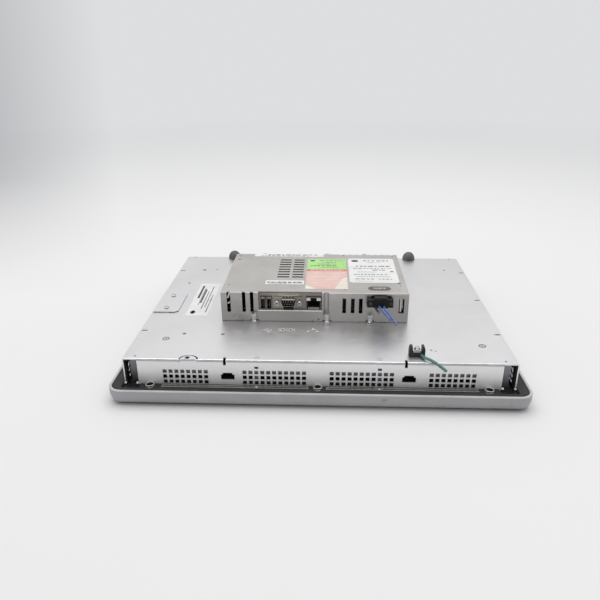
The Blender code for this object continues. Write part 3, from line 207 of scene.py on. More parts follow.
# Finishes: dark and light colour, smoothest and roughest, metallic, and what else surface() takes
FINISHES = {
    "bezel": ((0.37, 0.37, 0.385), (0.41, 0.41, 0.425), (0.36, 0.48), 0.0, dict(
        grain=1800.0, bump=0.35, speckle=0.12, stains=(
            ((0.0645, -0.1645, 0.0120), 0.0035, (0.20, 0.15, 0.10), 0.8),
            ((0.1760, -0.1640, 0.0100), 0.0150, (0.24, 0.20, 0.18), 0.6),
            ((0.1200, -0.1645, 0.0070), 0.0090, (0.26, 0.23, 0.21), 0.4),
        ))),
    # A lighter copy of the bezel paint for the rim's upward faces: a painted highlight
    "rim": ((0.50, 0.50, 0.515), (0.58, 0.58, 0.595), (0.30, 0.42), 0.0,
            dict(grain=1800.0, bump=0.3, speckle=0.12)),
    "gasket": ((0.026, 0.024, 0.023), (0.052, 0.049, 0.047), (0.70, 0.90), 0.0,
               dict(grain=1300.0, bump=0.9, depth=0.0003, speckle=0.6)),
    "zinc": ((0.735, 0.735, 0.745), (0.775, 0.775, 0.785), (0.34, 0.42), 1.0, SHEET),
    # A lighter, less metallic copy of the zinc for the housing's front wall: painted light
    "wall": ((0.92, 0.92, 0.93), (0.95, 0.95, 0.96), (0.40, 0.50), 0.4, SHEET),
    "fold_shade": ((0.48, 0.48, 0.49), (0.56, 0.56, 0.57), (0.50, 0.62), 0.6,
                   dict(blotch=140.0, grain=1100.0, bump=0.05, speckle=0.05)),
    "module": ((0.52, 0.50, 0.48), (0.61, 0.59, 0.57), (0.28, 0.40), 1.0, dict(
        blotch=20.0, grain=1300.0, stretch=BRUSHED, bump=0.08, speckle=0.08, scratches=0.25, stains=(
            # Two patches of painted shade where the front wall is slightly recessed, low on the left
            ((-0.0890, -0.0576, 0.0470), 0.0100, RECESS_SHADE, 0.8),
            ((-0.0800, -0.0576, 0.0460), 0.0060, RECESS_SHADE, 0.6),
        ))),
    "inner": ((0.19, 0.185, 0.205), (0.28, 0.27, 0.30), (0.35, 0.50), 1.0,
              dict(grain=900.0, stretch=BRUSHED, bump=0.08, speckle=0.1)),
    "baffle": ((0.27, 0.27, 0.28), (0.36, 0.36, 0.37), (0.50, 0.70), 0.0,
               dict(grain=900.0, bump=0.08, speckle=0.1)),
    "tan": ((0.34, 0.31, 0.275), (0.50, 0.46, 0.41), (0.32, 0.48), 1.0,
            dict(grain=1100.0, bump=0.1, speckle=0.15)),
    "steel": ((0.66, 0.66, 0.66), (0.84, 0.84, 0.83), (0.14, 0.26), 1.0,
              dict(blotch=180.0, grain=1600.0, bump=0.1, speckle=0.12)),
    "aluminium": ((0.62, 0.62, 0.63), (0.78, 0.78, 0.79), (0.28, 0.42), 1.0,
                  dict(grain=1200.0, stretch=(1.0, 0.05, 1.0), bump=0.1)),
    "brass": ((0.62, 0.46, 0.20), (0.80, 0.62, 0.30), (0.18, 0.30), 1.0,
              dict(blotch=300.0, grain=2000.0, bump=0.05)),
    # Gold for a painted highlight on the serial shell's top edge
    "gilt": ((0.72, 0.62, 0.40), (0.86, 0.76, 0.54), (0.30, 0.45), 0.3,
             dict(blotch=300.0, grain=2000.0, bump=0.05)),
    "copper": ((0.55, 0.27, 0.16), (0.80, 0.45, 0.28), (0.22, 0.40), 1.0,
               dict(blotch=700.0, grain=3000.0, bump=0.2)),
    "black": ((0.006, 0.006, 0.007), (0.014, 0.014, 0.015), (0.42, 0.60), 0.0,
              dict(blotch=120.0, grain=2200.0, bump=0.35, speckle=0.15, Specular_IOR_Level=0.3)),
    "charcoal": ((0.012, 0.013, 0.013), (0.026, 0.027, 0.028), (0.34, 0.50), 0.0,
                 dict(blotch=150.0, grain=2400.0, bump=0.35)),
    "rubber": ((0.095, 0.095, 0.10), (0.15, 0.15, 0.155), (0.42, 0.60), 0.0,
               dict(blotch=90.0, grain=1800.0, bump=0.5, depth=0.00008)),
    "laminate": ((0.004, 0.018, 0.010), (0.010, 0.035, 0.020), (0.30, 0.45), 0.0,
                 dict(blotch=140.0, grain=700.0, bump=0.2)),
    "blue": ((0.060, 0.125, 0.35), (0.13, 0.22, 0.50), (0.26, 0.40), 0.0,
             dict(INSULATION, Coat_Weight=0.35, Coat_Roughness=0.25)),
    "green": ((0.050, 0.155, 0.125), (0.105, 0.255, 0.210), (0.30, 0.45), 0.0,
              dict(INSULATION, Coat_Weight=0.25, Coat_Roughness=0.3)),
    "sooty": ((0.012, 0.014, 0.022), (0.030, 0.034, 0.050), (0.30, 0.45), 0.0,
              dict(INSULATION, Coat_Weight=0.3, Coat_Roughness=0.3)),
    "white_label": ((0.77, 0.77, 0.77), (0.84, 0.84, 0.84), (0.38, 0.50), 0.0, dict(PAPER, blotch=60.0)),
    "green_label": ((0.37, 0.70, 0.22), (0.45, 0.80, 0.28), (0.38, 0.50), 0.0, dict(PAPER, blotch=70.0)),
    "pink_label": ((0.74, 0.47, 0.43), (0.82, 0.56, 0.50), (0.38, 0.50), 0.0, dict(PAPER, blotch=70.0)),
    "red_print": ((0.62, 0.12, 0.11), (0.75, 0.20, 0.17), (0.38, 0.50), 0.0,
                  dict(PAPER, blotch=300.0, speckle=0.05)),
    "cream_print": ((0.74, 0.69, 0.60), (0.82, 0.77, 0.68), (0.38, 0.50), 0.0,
                    dict(PAPER, blotch=100.0)),
    "ink": ((0.045, 0.045, 0.050), (0.13, 0.13, 0.14), (0.40, 0.55), 0.0,
            dict(blotch=900.0, grain=2500.0, bump=0.05, speckle=0.1)),
    "dimple": ((0.16, 0.15, 0.15), (0.30, 0.28, 0.28), (0.45, 0.60), 0.6,
               dict(blotch=500.0, grain=2500.0, bump=0.1)),
    "bright": ((0.78, 0.78, 0.78), (0.90, 0.90, 0.89), (0.28, 0.40), 0.2,
               dict(EDGE, bump=0.1, speckle=0.08)),
    "polished": ((0.88, 0.88, 0.88), (0.95, 0.95, 0.95), (0.10, 0.20), 1.0,
                 dict(EDGE, bump=0.05, speckle=0.03)),
    "badge": ((0.075, 0.072, 0.070), (0.13, 0.125, 0.12), (0.35, 0.50), 0.0,
              dict(blotch=200.0, grain=1500.0, bump=0.1)),
    "dark_label": ((0.030, 0.030, 0.032), (0.065, 0.065, 0.068), (0.35, 0.50), 0.0,
                   dict(blotch=200.0, grain=1500.0, bump=0.1)),
    "glass": ((0.006, 0.006, 0.008), (0.012, 0.012, 0.014), (0.06, 0.12), 0.0,
              dict(grain=2500.0, bump=0.02, speckle=0.0, Coat_Weight=1.0, Coat_Roughness=0.05)),
    "lamp_green": ((0.05, 0.28, 0.09), (0.10, 0.40, 0.14), (0.10, 0.18), 0.0,
                   dict(LENS, Transmission_Weight=0.4)),
    "lamp_red": ((0.35, 0.03, 0.03), (0.50, 0.06, 0.05), (0.10, 0.18), 0.0,
                 dict(LENS, Transmission_Weight=0.4)),
    "clear": ((0.88, 0.88, 0.85), (0.96, 0.96, 0.93), (0.10, 0.20), 0.0, LENS),
    "floor": ((0.84, 0.84, 0.845), (0.86, 0.86, 0.865), (0.75, 0.85), 0.0,
              dict(blotch=1.2, grain=40.0, bump=0.02, speckle=0.0, Specular_IOR_Level=0.0)),
}


# ---- shader nodes ----

def node(net, kind, inputs, operation=None):
    """Adds a shader node, and links or sets its inputs."""
    made = net.nodes.new("ShaderNode" + kind)
    if operation:
        made.operation = operation
    for key, value in inputs.items():
        socket = made.inputs[key]
        if isinstance(value, bpy.types.NodeSocket):
            net.links.new(value, socket)
        else:
            socket.default_value = (*value, 1.0) if socket.type == "RGBA" else value
    return made


def maths(net, operation, first, second):
    return node(net, "Math", {0: first, 1: second}, operation).outputs[0]


def noise(net, vector, scale, detail=3.0, distortion=0.0):
    inputs = {"Vector": vector, "Scale": scale, "Detail": detail, "Distortion": distortion}
    return node(net, "TexNoise", inputs).outputs["Fac"]


def spread(net, value, low, high, start=0.35, end=0.65):
    """Stretches a value from start..end to low..high, and clamps it."""
    inputs = {"Value": value, "From Min": start, "From Max": end, "To Min": low, "To Max": high}
    return node(net, "MapRange", inputs).outputs["Result"]


def blend_colour(net, factor, first, second):
    """Mixes two colours, each a triple or a socket."""
    made = net.nodes.new("ShaderNodeMix")
    made.data_type = "RGBA"
    net.links.new(factor, made.inputs["Factor"])
    for key, colour in (("A", first), ("B", second)):
        socket = next(s for s in made.inputs if s.name == key and s.type == "RGBA")
        if isinstance(colour, tuple):
            socket.default_value = (*colour, 1.0)
        else:
            net.links.new(colour, socket)
    return next(s for s in made.outputs if s.type == "RGBA")


def stretched(net, vector, scale, turn=0.0):
    inputs = {"Vector": vector, "Scale": scale, "Rotation": (0.0, 0.0, turn)}
    return node(net, "Mapping", inputs).outputs["Vector"]


def surface(
    name, dark, light, roughness, metallic, blotch=30.0, grain=900.0, stretch=(1, 1, 1),
    bump=0.15, depth=0.00005, speckle=0.25, scratches=0.0, stains=(), **sockets
):
    """A finish with broad colour variation, fine grain, and optional scratches, stain marks and patches of
    painted shade.

    roughness is (smoothest, roughest). Each stain or patch of painted shade is (centre, radius, colour,
    strength).
    """
    made = bpy.data.materials.new(name)
    made.use_nodes = True
    net = made.node_tree
    shader = net.nodes["Principled BSDF"]
    shader.inputs["Metallic"].default_value = metallic
    for key, value in sockets.items():
        shader.inputs[key.replace("_", " ")].default_value = value
    place = net.nodes.new("ShaderNodeTexCoord").outputs["Object"]
    broad = noise(net, place, blotch, 4.0, 0.6)
    fine = noise(net, stretched(net, place, stretch), grain)
    colour = blend_colour(net, spread(net, broad, 0.0, 1.0), dark, light)
    deep = tuple(0.55 * c for c in dark)
    colour = blend_colour(net, spread(net, fine, speckle, 0.0, 0.3, 0.6), colour, deep)
    if scratches:
        for turn, scale in ((0.35, 170.0), (-0.9, 130.0), (1.4, 150.0)):
            lines = noise(net, stretched(net, place, (0.04, 1.0, 1.0), turn), scale, 1.0)
            line = spread(net, lines, 0.0, scratches, 0.70, 0.76)
            colour = blend_colour(net, line, colour, tuple(min(1.0, 1.25 * c) for c in light))
    for centre, radius, tint, strength in stains:
        away = node(net, "VectorMath", {0: place, 1: centre}, "DISTANCE").outputs["Value"]
        near = spread(net, away, strength, 0.0, 0.25 * radius, radius)
        patches = spread(net, noise(net, place, 1.6 / radius), 0.0, 1.0)
        colour = blend_colour(net, maths(net, "MULTIPLY", near, patches), colour, tint)
    net.links.new(colour, shader.inputs["Base Color"])
    net.links.new(spread(net, fine, *roughness), shader.inputs["Roughness"])
    height = node(net, "Bump", {"Strength": bump, "Distance": depth, "Height": fine})
    net.links.new(height.outputs["Normal"], shader.inputs["Normal"])
    return made


def left_edge(net, split, reach):
    """How far to the left of the room's middle a place or a direction is, from 0 to 1, which sets the painted
    shade there.
    """
    ratio = maths(net, "DIVIDE", split["X"], maths(net, "ADD", split["Y"], reach))
    return spread(net, ratio, 0.0, 1.0, -0.36, -0.60)


def fade_floor(material):
    """The pale paper, with painted shade towards the far left, fades into the room's own grey far away, where
    it glows with that colour as painted light instead of being lit.
    """
    net = material.node_tree
    shader = net.nodes["Principled BSDF"]
    near = shader.inputs["Base Color"].links[0].from_socket
    place = net.nodes.new("ShaderNodeTexCoord").outputs["Object"]
    split = node(net, "SeparateXYZ", {0: place}).outputs
    away = node(net, "VectorMath", {0: place}, "LENGTH").outputs["Value"]
    far = spread(net, away, 0.0, 1.0, 0.5, 2.3)
    behind = spread(net, split["Y"], 0.0, 1.0, 0.1, 0.9)
    # Painted shade towards the far left, on the near floor and on the far paper
    shade = maths(net, "MULTIPLY", left_edge(net, split, SHADE_APEX), behind)
    near = blend_colour(net, shade, near, (0.58, 0.58, 0.59))
    paper = blend_colour(net, shade, FAR_PAPER, SHADED_PAPER)
    black = (0.0, 0.0, 0.0)
    net.links.new(blend_colour(net, far, near, black), shader.inputs["Base Color"])
    # Far away the floor glows with the paper colour: painted light in place of lighting
    net.links.new(blend_colour(net, far, black, paper), shader.inputs["Emission Color"])
    shader.inputs["Emission Strength"].default_value = 1.0


# ---- camera, light and floor ----

def make_world():
    """A plain white room: dimmer on the camera's side, paper grey at the horizon, and painted shade towards
    the far left.
    """
    world = bpy.data.worlds.new("studio")
    bpy.context.scene.world = world
    world.use_nodes = True
    net = world.node_tree
    place = net.nodes.new("ShaderNodeTexCoord").outputs["Generated"]
    split = node(net, "SeparateXYZ", {0: place}).outputs
    room = spread(net, split["Y"], WORLD_FRONT, WORLD_BACK, -0.9, 0.7)
    behind = spread(net, split["Y"], 0.0, 1.0, 0.4, 0.7)
    low = spread(net, split["Z"], 1.0, 0.0, 0.08, 0.30)
    # The same painted shade towards the far left as on the floor
    shade = maths(net, "MULTIPLY", left_edge(net, split, 0.0), behind)
    paper = blend_colour(net, shade, FAR_PAPER, SHADED_PAPER)
    mixed = blend_colour(net, maths(net, "MULTIPLY", low, behind), room, paper)
    net.links.new(mixed, net.nodes["Background"].inputs["Color"])


def add_object(name, data):
    made = bpy.data.objects.new(name, data)
    bpy.context.scene.collection.objects.link(made)
    return made


def make_camera():
    forward = Vector((
        math.sin(CAMERA_YAW) * math.cos(CAMERA_PITCH),
        math.cos(CAMERA_YAW) * math.cos(CAMERA_PITCH),
        -math.sin(CAMERA_PITCH),
    ))
    level = Vector((math.cos(CAMERA_YAW), -math.sin(CAMERA_YAW), 0.0))
    upright = level.cross(forward)
    right = math.cos(CAMERA_ROLL) * level + math.sin(CAMERA_ROLL) * upright
    up = math.cos(CAMERA_ROLL) * upright - math.sin(CAMERA_ROLL) * level
    data = bpy.data.cameras.new("main_camera")
    data.sensor_width = CAMERA_SENSOR
    data.lens = CAMERA_LENS
    data.clip_start = 0.01
    data.shift_y = CAMERA_SHIFT
    camera = add_object("main_camera", data)
    turn = Matrix((right, up, -forward)).transposed().to_4x4()
    camera.matrix_world = Matrix.Translation(CAMERA_PLACE) @ turn
    bpy.context.scene.camera = camera


def make_softbox():
    data = bpy.data.lights.new("overhead_softbox", "AREA")
    data.shape = "RECTANGLE"
    data.size, data.size_y = SOFTBOX_SIZE
    data.energy = SOFTBOX_POWER
    light = add_object("overhead_softbox", data)
    light.location = SOFTBOX_PLACE
    light.rotation_euler = (-Vector(SOFTBOX_PLACE)).to_track_quat("-Z", "Y").to_euler()


def make_floor():
    half = FLOOR_SIZE / 2
    corners = [(-half, -half, 0.0), (half, -half, 0.0), (half, half, 0.0), (-half, half, 0.0)]
    data = bpy.data.meshes.new("floor")
    data.from_pydata(corners, [], [(0, 1, 2, 3)])
    data.materials.append(MATERIALS["floor"])
    fade_floor(MATERIALS["floor"])
    add_object("floor", data)


# ---- mesh helpers: everything is in metres, in the row frame ----

AXIS_TURNS = {"Y": Matrix.Rotation(-math.pi / 2, 4, "X"), "Z": Matrix.Identity(4)}


def give_paint(faces, paint):
    for face in faces:
        face.material_index = paint


class Shape:
    """A mesh under construction. Each call adds one closed body in one of the piece's paints.

    Its coordinates are measured from origin.
    """

    def __init__(self, origin=(0.0, 0.0, 0.0)):
        self.mesh = bmesh.new()
        self.origin = Vector(origin)

    def _ring(self, spots):
        return [self.mesh.verts.new(spot) for spot in spots]

    def _bands(self, lower, upper, count):
        """Faces between two rings, either of which may be a single point."""
        made = []
        for i in range(count):
            j = (i + 1) % count
            quad = [lower[k % len(lower)] for k in (i, j)] + [upper[k % len(upper)] for k in (j, i)]
            made.append(self.mesh.faces.new(list(dict.fromkeys(quad))))
        return made

    def _bevel(self, edges, offset, steps=2):
        bmesh.ops.bevel(
            self.mesh, geom=list(edges), offset=offset, segments=steps, profile=0.5, affect="EDGES"
        )

    def box(self, low, high, bevel=0.0, steps=2, paint=0):
        """A box between two opposite corners, in any order."""
        before = set(self.mesh.faces)
        size = [abs(b - a) for a, b in zip(low, high)]
        centre = [(a + b) / 2 for a, b in zip(low, high)]
        place = Matrix.Translation(centre) @ Matrix.Diagonal((*size, 1.0))
        made = bmesh.ops.create_cube(self.mesh, size=1.0, matrix=place)["verts"]
        if bevel:
            self._bevel({e for v in made for e in v.link_edges}, bevel, steps)
        give_paint(set(self.mesh.faces) - before, paint)

    def lathe(self, centre, profile, axis="Z", sides=32, ribs=0.0, paint=0, hollow=False):
        """Revolves (radius, height) points about an axis, as a ring if it is hollow.

        A point with a third entry is ribbed: every second side there is scaled inwards by ribs.
        """
        turn = Matrix.Translation(centre) @ AXIS_TURNS[axis]
        rings = []
        for radius, height, *ribbed in profile:
            spots = []
            for i in range(sides if radius else 1):
                angle = 2 * math.pi * i / sides
                r = radius * (1 - ribs) if ribbed and i % 2 else radius
                spots.append(turn @ Vector((r * math.cos(angle), r * math.sin(angle), height)))
            rings.append(self._ring(spots))
        faces = []
        for lower, upper in zip(rings, rings[1:] + (rings[:1] if hollow else [])):
            faces += self._bands(lower, upper, sides)
        for ring in (rings[0], rings[-1]):
            if len(ring) > 1 and not hollow:
                faces.append(self.mesh.faces.new(ring))
        bmesh.ops.recalc_face_normals(self.mesh, faces=faces)
        give_paint(faces, paint)

    def disc(self, centre, radius, low, high, paint=0):
        self.lathe(centre, ((0.0, low), (radius, low), (radius, high), (0.0, high)), sides=20, paint=paint)

    def dimple(self, centre, radius, axis="Z", up=1, sides=20):
        """A low round bump that stands just proud of a sheet."""
        profile = ((0.0, -0.0001), (1.0, -0.0001), (1.0, 0.00002), (0.6, 0.00006), (0.0, 0.00007))
        self.lathe(centre, [(share * radius, up * height) for share, height in profile], axis, sides)

    def ring(self, centre, inner, outer, low, high, chamfer=0.0001, sides=28, paint=0):
        """A washer with broken edges."""
        profile = (
            (inner, low), (outer - chamfer, low), (outer, low + chamfer), (outer, high - chamfer),
            (outer - chamfer, high), (inner + chamfer, high), (inner, high - chamfer),
        )
        self.lathe(centre, profile, sides=sides, paint=paint, hollow=True)

    def prism(self, outline, start, end, plane="XYZ", bevel=0.0, hole=None, paint=0):
        """Extrudes a closed outline of (u, v), with an optional hole of as many points."""
        before = set(self.mesh.faces)

        def ring(points, w):
            spots = ({plane[0]: u, plane[1]: v, plane[2]: w} for u, v in points)
            return self._ring([spot[letter] for letter in "XYZ"] for spot in spots)

        low, high = ring(outline, start), ring(outline, end)
        pairs = [(low, high)]
        faces = []
        if hole:
            inner = ring(hole, start), ring(hole, end)
            pairs += [inner, (low, inner[0]), (high, inner[1])]
        else:
            faces += [self.mesh.faces.new(low), self.mesh.faces.new(high)]
        for first, second in pairs:
            faces += self._bands(first, second, len(outline))
        bmesh.ops.recalc_face_normals(self.mesh, faces=faces)
        if bevel:
            edges = {e for f in faces for e in f.edges}
            self._bevel([e for e in edges if sharp(e, SHARP_ANGLE)], bevel)
        give_paint(set(self.mesh.faces) - before, paint)

    def slotted(self, centre, radius, start, end, gap, plane="XYZ", turn=0.0, bevel=0.0002, paint=0):
        """A screw head's top: two half discs with the driver's slot between them."""
        reach = math.asin(gap / 2 / radius)
        steps = 12
        for side in (0.0, math.pi):
            angles = [turn + side + reach + (math.pi - 2 * reach) * step / steps for step in range(steps + 1)]
            outline = [(centre[0] + radius * math.cos(a), centre[1] + radius * math.sin(a)) for a in angles]
            self.prism(outline, start, end, plane, bevel=bevel, paint=paint)

    def tube(self, path, radius, sides=12, paint=0):
        """A closed tube along straight lengths, for pins and strands."""
        points = [Vector(p) for p in path]
        side = None
        rings = []
        for i, point in enumerate(points):
            ahead = points[min(i + 1, len(points) - 1)] - points[max(i - 1, 0)]
            ahead.normalize()
            if side is None:
                side = ahead.orthogonal().normalized()
            side = (side - ahead * side.dot(ahead)).normalized()
            other = ahead.cross(side)
            angles = [2 * math.pi * k / sides for k in range(sides)]
            outward = [math.cos(angle) * side + math.sin(angle) * other for angle in angles]
            rings.append(self._ring(point + radius * away for away in outward))
        faces = [self.mesh.faces.new(rings[0]), self.mesh.faces.new(rings[-1])]
        for lower, upper in zip(rings, rings[1:]):
            faces += self._bands(lower, upper, sides)
        bmesh.ops.recalc_face_normals(self.mesh, faces=faces)
        give_paint(faces, paint)


def sharp(edge, angle):
    return len(edge.link_faces) == 2 and edge.calc_face_angle(0.0) > angle


def rounded(width, height, radius, centre=(0.0, 0.0), steps=5):
    """Outline of a rectangle with round corners, anticlockwise."""
    outline = []
    for side_x, side_y, quarter in ((1, 1, 0), (-1, 1, 1), (-1, -1, 2), (1, -1, 3)):
        middle_x = centre[0] + side_x * (width / 2 - radius)
        middle_y = centre[1] + side_y * (height / 2 - radius)
        for step in range(steps + 1):
            angle = (quarter + step / steps) * math.pi / 2
            outline.append((middle_x + radius * math.cos(angle), middle_y + radius * math.sin(angle)))
    return outline


def polygon(corners, radius, count, turn):
    """Outline of a regular polygon, as count points at even angles. radius is to a flat side."""
    outline = []
    side = 2 * math.pi / corners
    for i in range(count):
        angle = 2 * math.pi * i / count
        off = (angle + side / 2) % side - side / 2
        reach = radius / math.cos(off)
        outline.append((reach * math.cos(angle + turn), reach * math.sin(angle + turn)))
    return outline


def span(node_name):
    """A CAD node's box as (left, front, bottom, right, rear, top)."""
    low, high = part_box(node_name)
    return (*low, *high)


def middle(node_name):
    low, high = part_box(node_name)
    return tuple((a + b) / 2 for a, b in zip(low, high))


def on_node(node_name):
    """A Shape measured from the middle of a node's front bottom edge, and the node's size.

    The size is its half width, depth and height.
    """
    left, front, bottom, right, rear, top = span(node_name)
    return Shape(((left + right) / 2, front, bottom)), (right - left) / 2, rear - front, top - bottom


def on_axis(node_name):
    """A Shape measured from the bottom of a round node's axis, with its radius and height."""
    _, _, bottom, right, _, top = span(node_name)
    x, y, _ = middle(node_name)
    return Shape((x, y, bottom)), right - x, top - bottom


def piece(name, shape, paints, body, node_name=None):
    """Turns a Shape into an object that rides on a body and may stand for a CAD node.

    paints are names of finishes, with spaces between them.
    """
    bmesh.ops.translate(shape.mesh, verts=shape.mesh.verts, vec=shape.origin)
    data = bpy.data.meshes.new(name)
    shape.mesh.to_mesh(data)
    shape.mesh.free()
    data.shade_smooth()
    data.set_sharp_from_angle(angle=SMOOTH_ANGLE)
    for paint in paints.split():
        data.materials.append(MATERIALS[paint])
    made = add_object(name, data)
    even = made.modifiers.new("flat_faces_stay_flat", "WEIGHTED_NORMAL")
    even.keep_sharp = True
    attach(made, body)
    if node_name:
        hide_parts(node_name)
    return made


def refined(node_name, name, paints, body, bevel, more=None):
    """The CAD node's own shape with merged faces and softened edges."""
    shape = Shape()
    mesh = shape.mesh
    mesh.from_mesh(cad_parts[node_name].data)
    bmesh.ops.remove_doubles(mesh, verts=mesh.verts, dist=2e-6)
    bmesh.ops.dissolve_limit(mesh, angle_limit=math.radians(1.0), verts=mesh.verts, edges=mesh.edges)
    bmesh.ops.bevel(
        mesh, geom=[e for e in mesh.edges if sharp(e, SHARP_ANGLE)], offset=bevel, segments=2,
        profile=0.5, affect="EDGES", clamp_overlap=True,
    )
    give_paint(mesh.faces, 0)
    if more:
        more(shape)
    piece(name, shape, paints, body, node_name)


# ---- cords ----

def smooth_path(points):
    """A smooth line through the points, in short straight steps."""
    steps = 6
    through = [Vector(p) for p in points]
    padded = [2 * through[0] - through[1], *through, 2 * through[-1] - through[-2]]
    path = []
    for i in range(1, len(padded) - 2):
        before, start, end, after = padded[i - 1:i + 3]
        square = 2 * before - 5 * start + 4 * end - after
        cube = 3 * start - before - 3 * end + after
        for step in range(steps):
            t = step / steps
            path.append(start + ((end - before) * t + square * t**2 + cube * t**3) / 2)
    return path + [through[-1]]


def make_wire(node_name, points, paint, body, radius=WIRE_RADIUS):
    """Insulation as a curve, and the cut strands at its end."""
    path = smooth_path(points)
    curve = bpy.data.curves.new(node_name + "_insulation", "CURVE")
    curve.dimensions = "3D"
    curve.bevel_depth = radius
    curve.bevel_resolution = 5
    curve.use_fill_caps = True
    line = curve.splines.new("POLY")
    line.points.add(len(path) - 1)
    for knot, place in zip(line.points, path):
        knot.co = (*place, 1.0)
    curve.materials.append(MATERIALS[paint])
    made = add_object(node_name + "_insulation", curve)
    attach(made, body)
    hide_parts(node_name)
    ahead = (path[-1] - path[-2]).normalized()
    side = ahead.orthogonal().normalized()
    other = ahead.cross(side)
    strands = Shape()
    inner = radius * 0.56
    for ring, count in ((0.0, 1), (0.62, 6)):
        for k in range(count):
            angle = 2 * math.pi * k / count
            offset = inner * ring * (math.cos(angle) * side + math.sin(angle) * other)
            start = path[-1] - 0.0006 * ahead + offset
            strands.tube((start, path[-1] + 0.00012 * ahead + offset), inner * 0.34, sides=8)
    metal = "steel" if paint == "sooty" else "copper"
    core = piece(node_name + "_strands", strands, metal, body)


# ---- hardware on the terminal ----

def make_flange_hardware():
    """Ring bosses with threads inside, and small slotted screws."""
    for number in (1, 2, 3):
        nut, outer, top = on_axis(f"flange_nut_{number}")
        nut.ring(ORIGIN, 0.0034, outer - 0.0001, 0.0003, top, chamfer=0.0004, sides=40)
        skirt = ((0.0036, 0.0), (outer, 0.0), (outer, 0.0005), (outer - 0.0003, 0.0007), (0.0036, 0.0007))
        nut.lathe(ORIGIN, skirt, sides=40, hollow=True)
        for height in (0.00025, 0.00065, 0.00105):
            nut.ring(ORIGIN, 0.0031, 0.0035, height - 0.0001, height + 0.0001, paint=1)
        hole = ((0.0, -0.0001), (0.0035, -0.0001), (0.0035, 0.0003), (0.0030, 0.0002), (0.0, 0.0))
        nut.lathe(ORIGIN, hole, sides=28, paint=1)
        piece(f"clinch_nut_{number}", nut, "steel black", TERMINAL, f"flange_nut_{number}")
    for number in (1, 2):
        screw, radius, top = on_axis(f"flange_screw_{number}")
        head = ((0.0, 0.0), (radius, 0.0), (radius, 0.0002), (radius * 0.8, 0.0004), (0.0, 0.0004))
        screw.lathe(ORIGIN, head, sides=28)
        screw.slotted((0.0, 0.0), radius * 0.85, 0.0003, top, 0.0005, turn=0.5)
        piece(f"bracket_screw_{number}", screw, "steel", TERMINAL, f"flange_screw_{number}")


def threads(shape, top, radius):
    """A threaded shank with a small point, from the shape's origin up."""
    core = radius * 0.85
    profile = [(0.0, 0.0), (radius * 0.75, 0.0), (core, THREAD_PITCH / 2)]
    height = THREAD_PITCH / 2
    while height + THREAD_PITCH < top:
        profile += [(radius, height + THREAD_PITCH / 2), (core, height + THREAD_PITCH)]
        height += THREAD_PITCH
    shape.lathe(ORIGIN, profile + [(core, top), (0.0, top)], sides=16)


def make_cover_screws():
    """Pan heads with a crossed recess, and their threads."""
    for number in (1, 2):
        shape, radius, top = on_axis(f"cover_screw_{number}")
        seat = top - 0.0014
        shape.lathe(ORIGIN, (
            (0.0, seat), (radius * 0.97, seat), (radius, seat + 0.0003), (radius * 0.96, seat + 0.0007),
            (radius * 0.80, seat + 0.00095), (0.0, seat + 0.00095),
        ))
        for quarter in range(4):
            low, high = math.radians(90 * quarter + 16), math.radians(90 * quarter + 74)
            spots = [(0.0005, (low + high) / 2)]
            spots += [(radius * 0.78, low + (high - low) * step / 6) for step in range(7)]
            outline = [(r * math.cos(angle), r * math.sin(angle)) for r, angle in spots]
            shape.prism(outline, seat + 0.0009, top, bevel=0.00015)
        threads(shape, seat, 0.0014)
        piece(f"pan_screw_{number}", shape, "steel", TERMINAL, f"cover_screw_{number}")


def circle_like(outline, radius, centre):
    """A circle with a point in line with each point of an outline round the same centre."""
    spots = [Vector(centre) + radius * (Vector(spot) - Vector(centre)).normalized() for spot in outline]
    return [tuple(spot) for spot in spots]


def make_ground_terminal():
    block, half, depth, top = on_node("ground_terminal")
    ear = 0.0034
    deck = span("ground_clamp")[2] - 0.0003 - span("ground_terminal")[2]
    block.box((-half, 0.0, 0.0), (half, depth, deck), 0.0004, 3)
    for side in (-1, 1):
        outer, inner = side * half, side * (half - ear)
        outline = [
            (outer, deck - 0.0010), (outer, top - 0.0034), (outer - side * 0.0006, top - 0.0012),
            (outer - side * 0.0013, top), (inner + side * 0.0003, top), (inner, top - 0.0005),
            (inner, deck - 0.0010),
        ]
        block.prism(outline, 0.0003, depth - 0.0003, "XZY", bevel=0.00025)
        groove = side * 0.0024
        block.box((groove - 0.0004, -0.00012, 0.0006), (groove + 0.0004, 0.0004, deck - 0.0005), 0.0001, 1)
    piece("ground_block", block, "charcoal", TERMINAL, "ground_terminal")

    clamp, half, depth, top = on_node("ground_clamp")
    centre = (0.0, depth / 2)
    for low, high in ((0.0, 0.0007), (top - 0.0009, top)):
        outline = rounded(2 * half, depth, 0.0007, centre, 4)
        clamp.prism(outline, low, high, bevel=0.00015, hole=circle_like(outline, 0.0019, centre))
    for side in (-1, 1):
        inner = side * (half - 0.0007)
        clamp.box((side * half, 0.0010, 0.0002), (inner, depth - 0.0010, top - 0.0002), 0.00015)
    for i in range(5):
        tooth = 0.0004 + i * 0.0010
        clamp.box((0.0012 - half, tooth, 0.0006), (half - 0.0012, tooth + 0.0004, 0.0009), 0.0001, 1)
    piece("ground_clamp_plates", clamp, "steel", TERMINAL, "ground_clamp")

    screw, radius, top = on_axis("ground_screw")
    seat = top - 0.0022
    screw.lathe(ORIGIN, (
        (0.0, seat), (radius, seat), (radius, seat + 0.0010), (radius * 0.95, seat + 0.0014),
        (0.0, seat + 0.0014),
    ))
    screw.slotted((0.0, 0.0), radius * 0.95, seat + 0.0012, top, 0.0008, turn=0.25)
    threads(screw, seat, 0.0014)
    piece("ground_screw_slotted", screw, "steel", TERMINAL, "ground_screw")


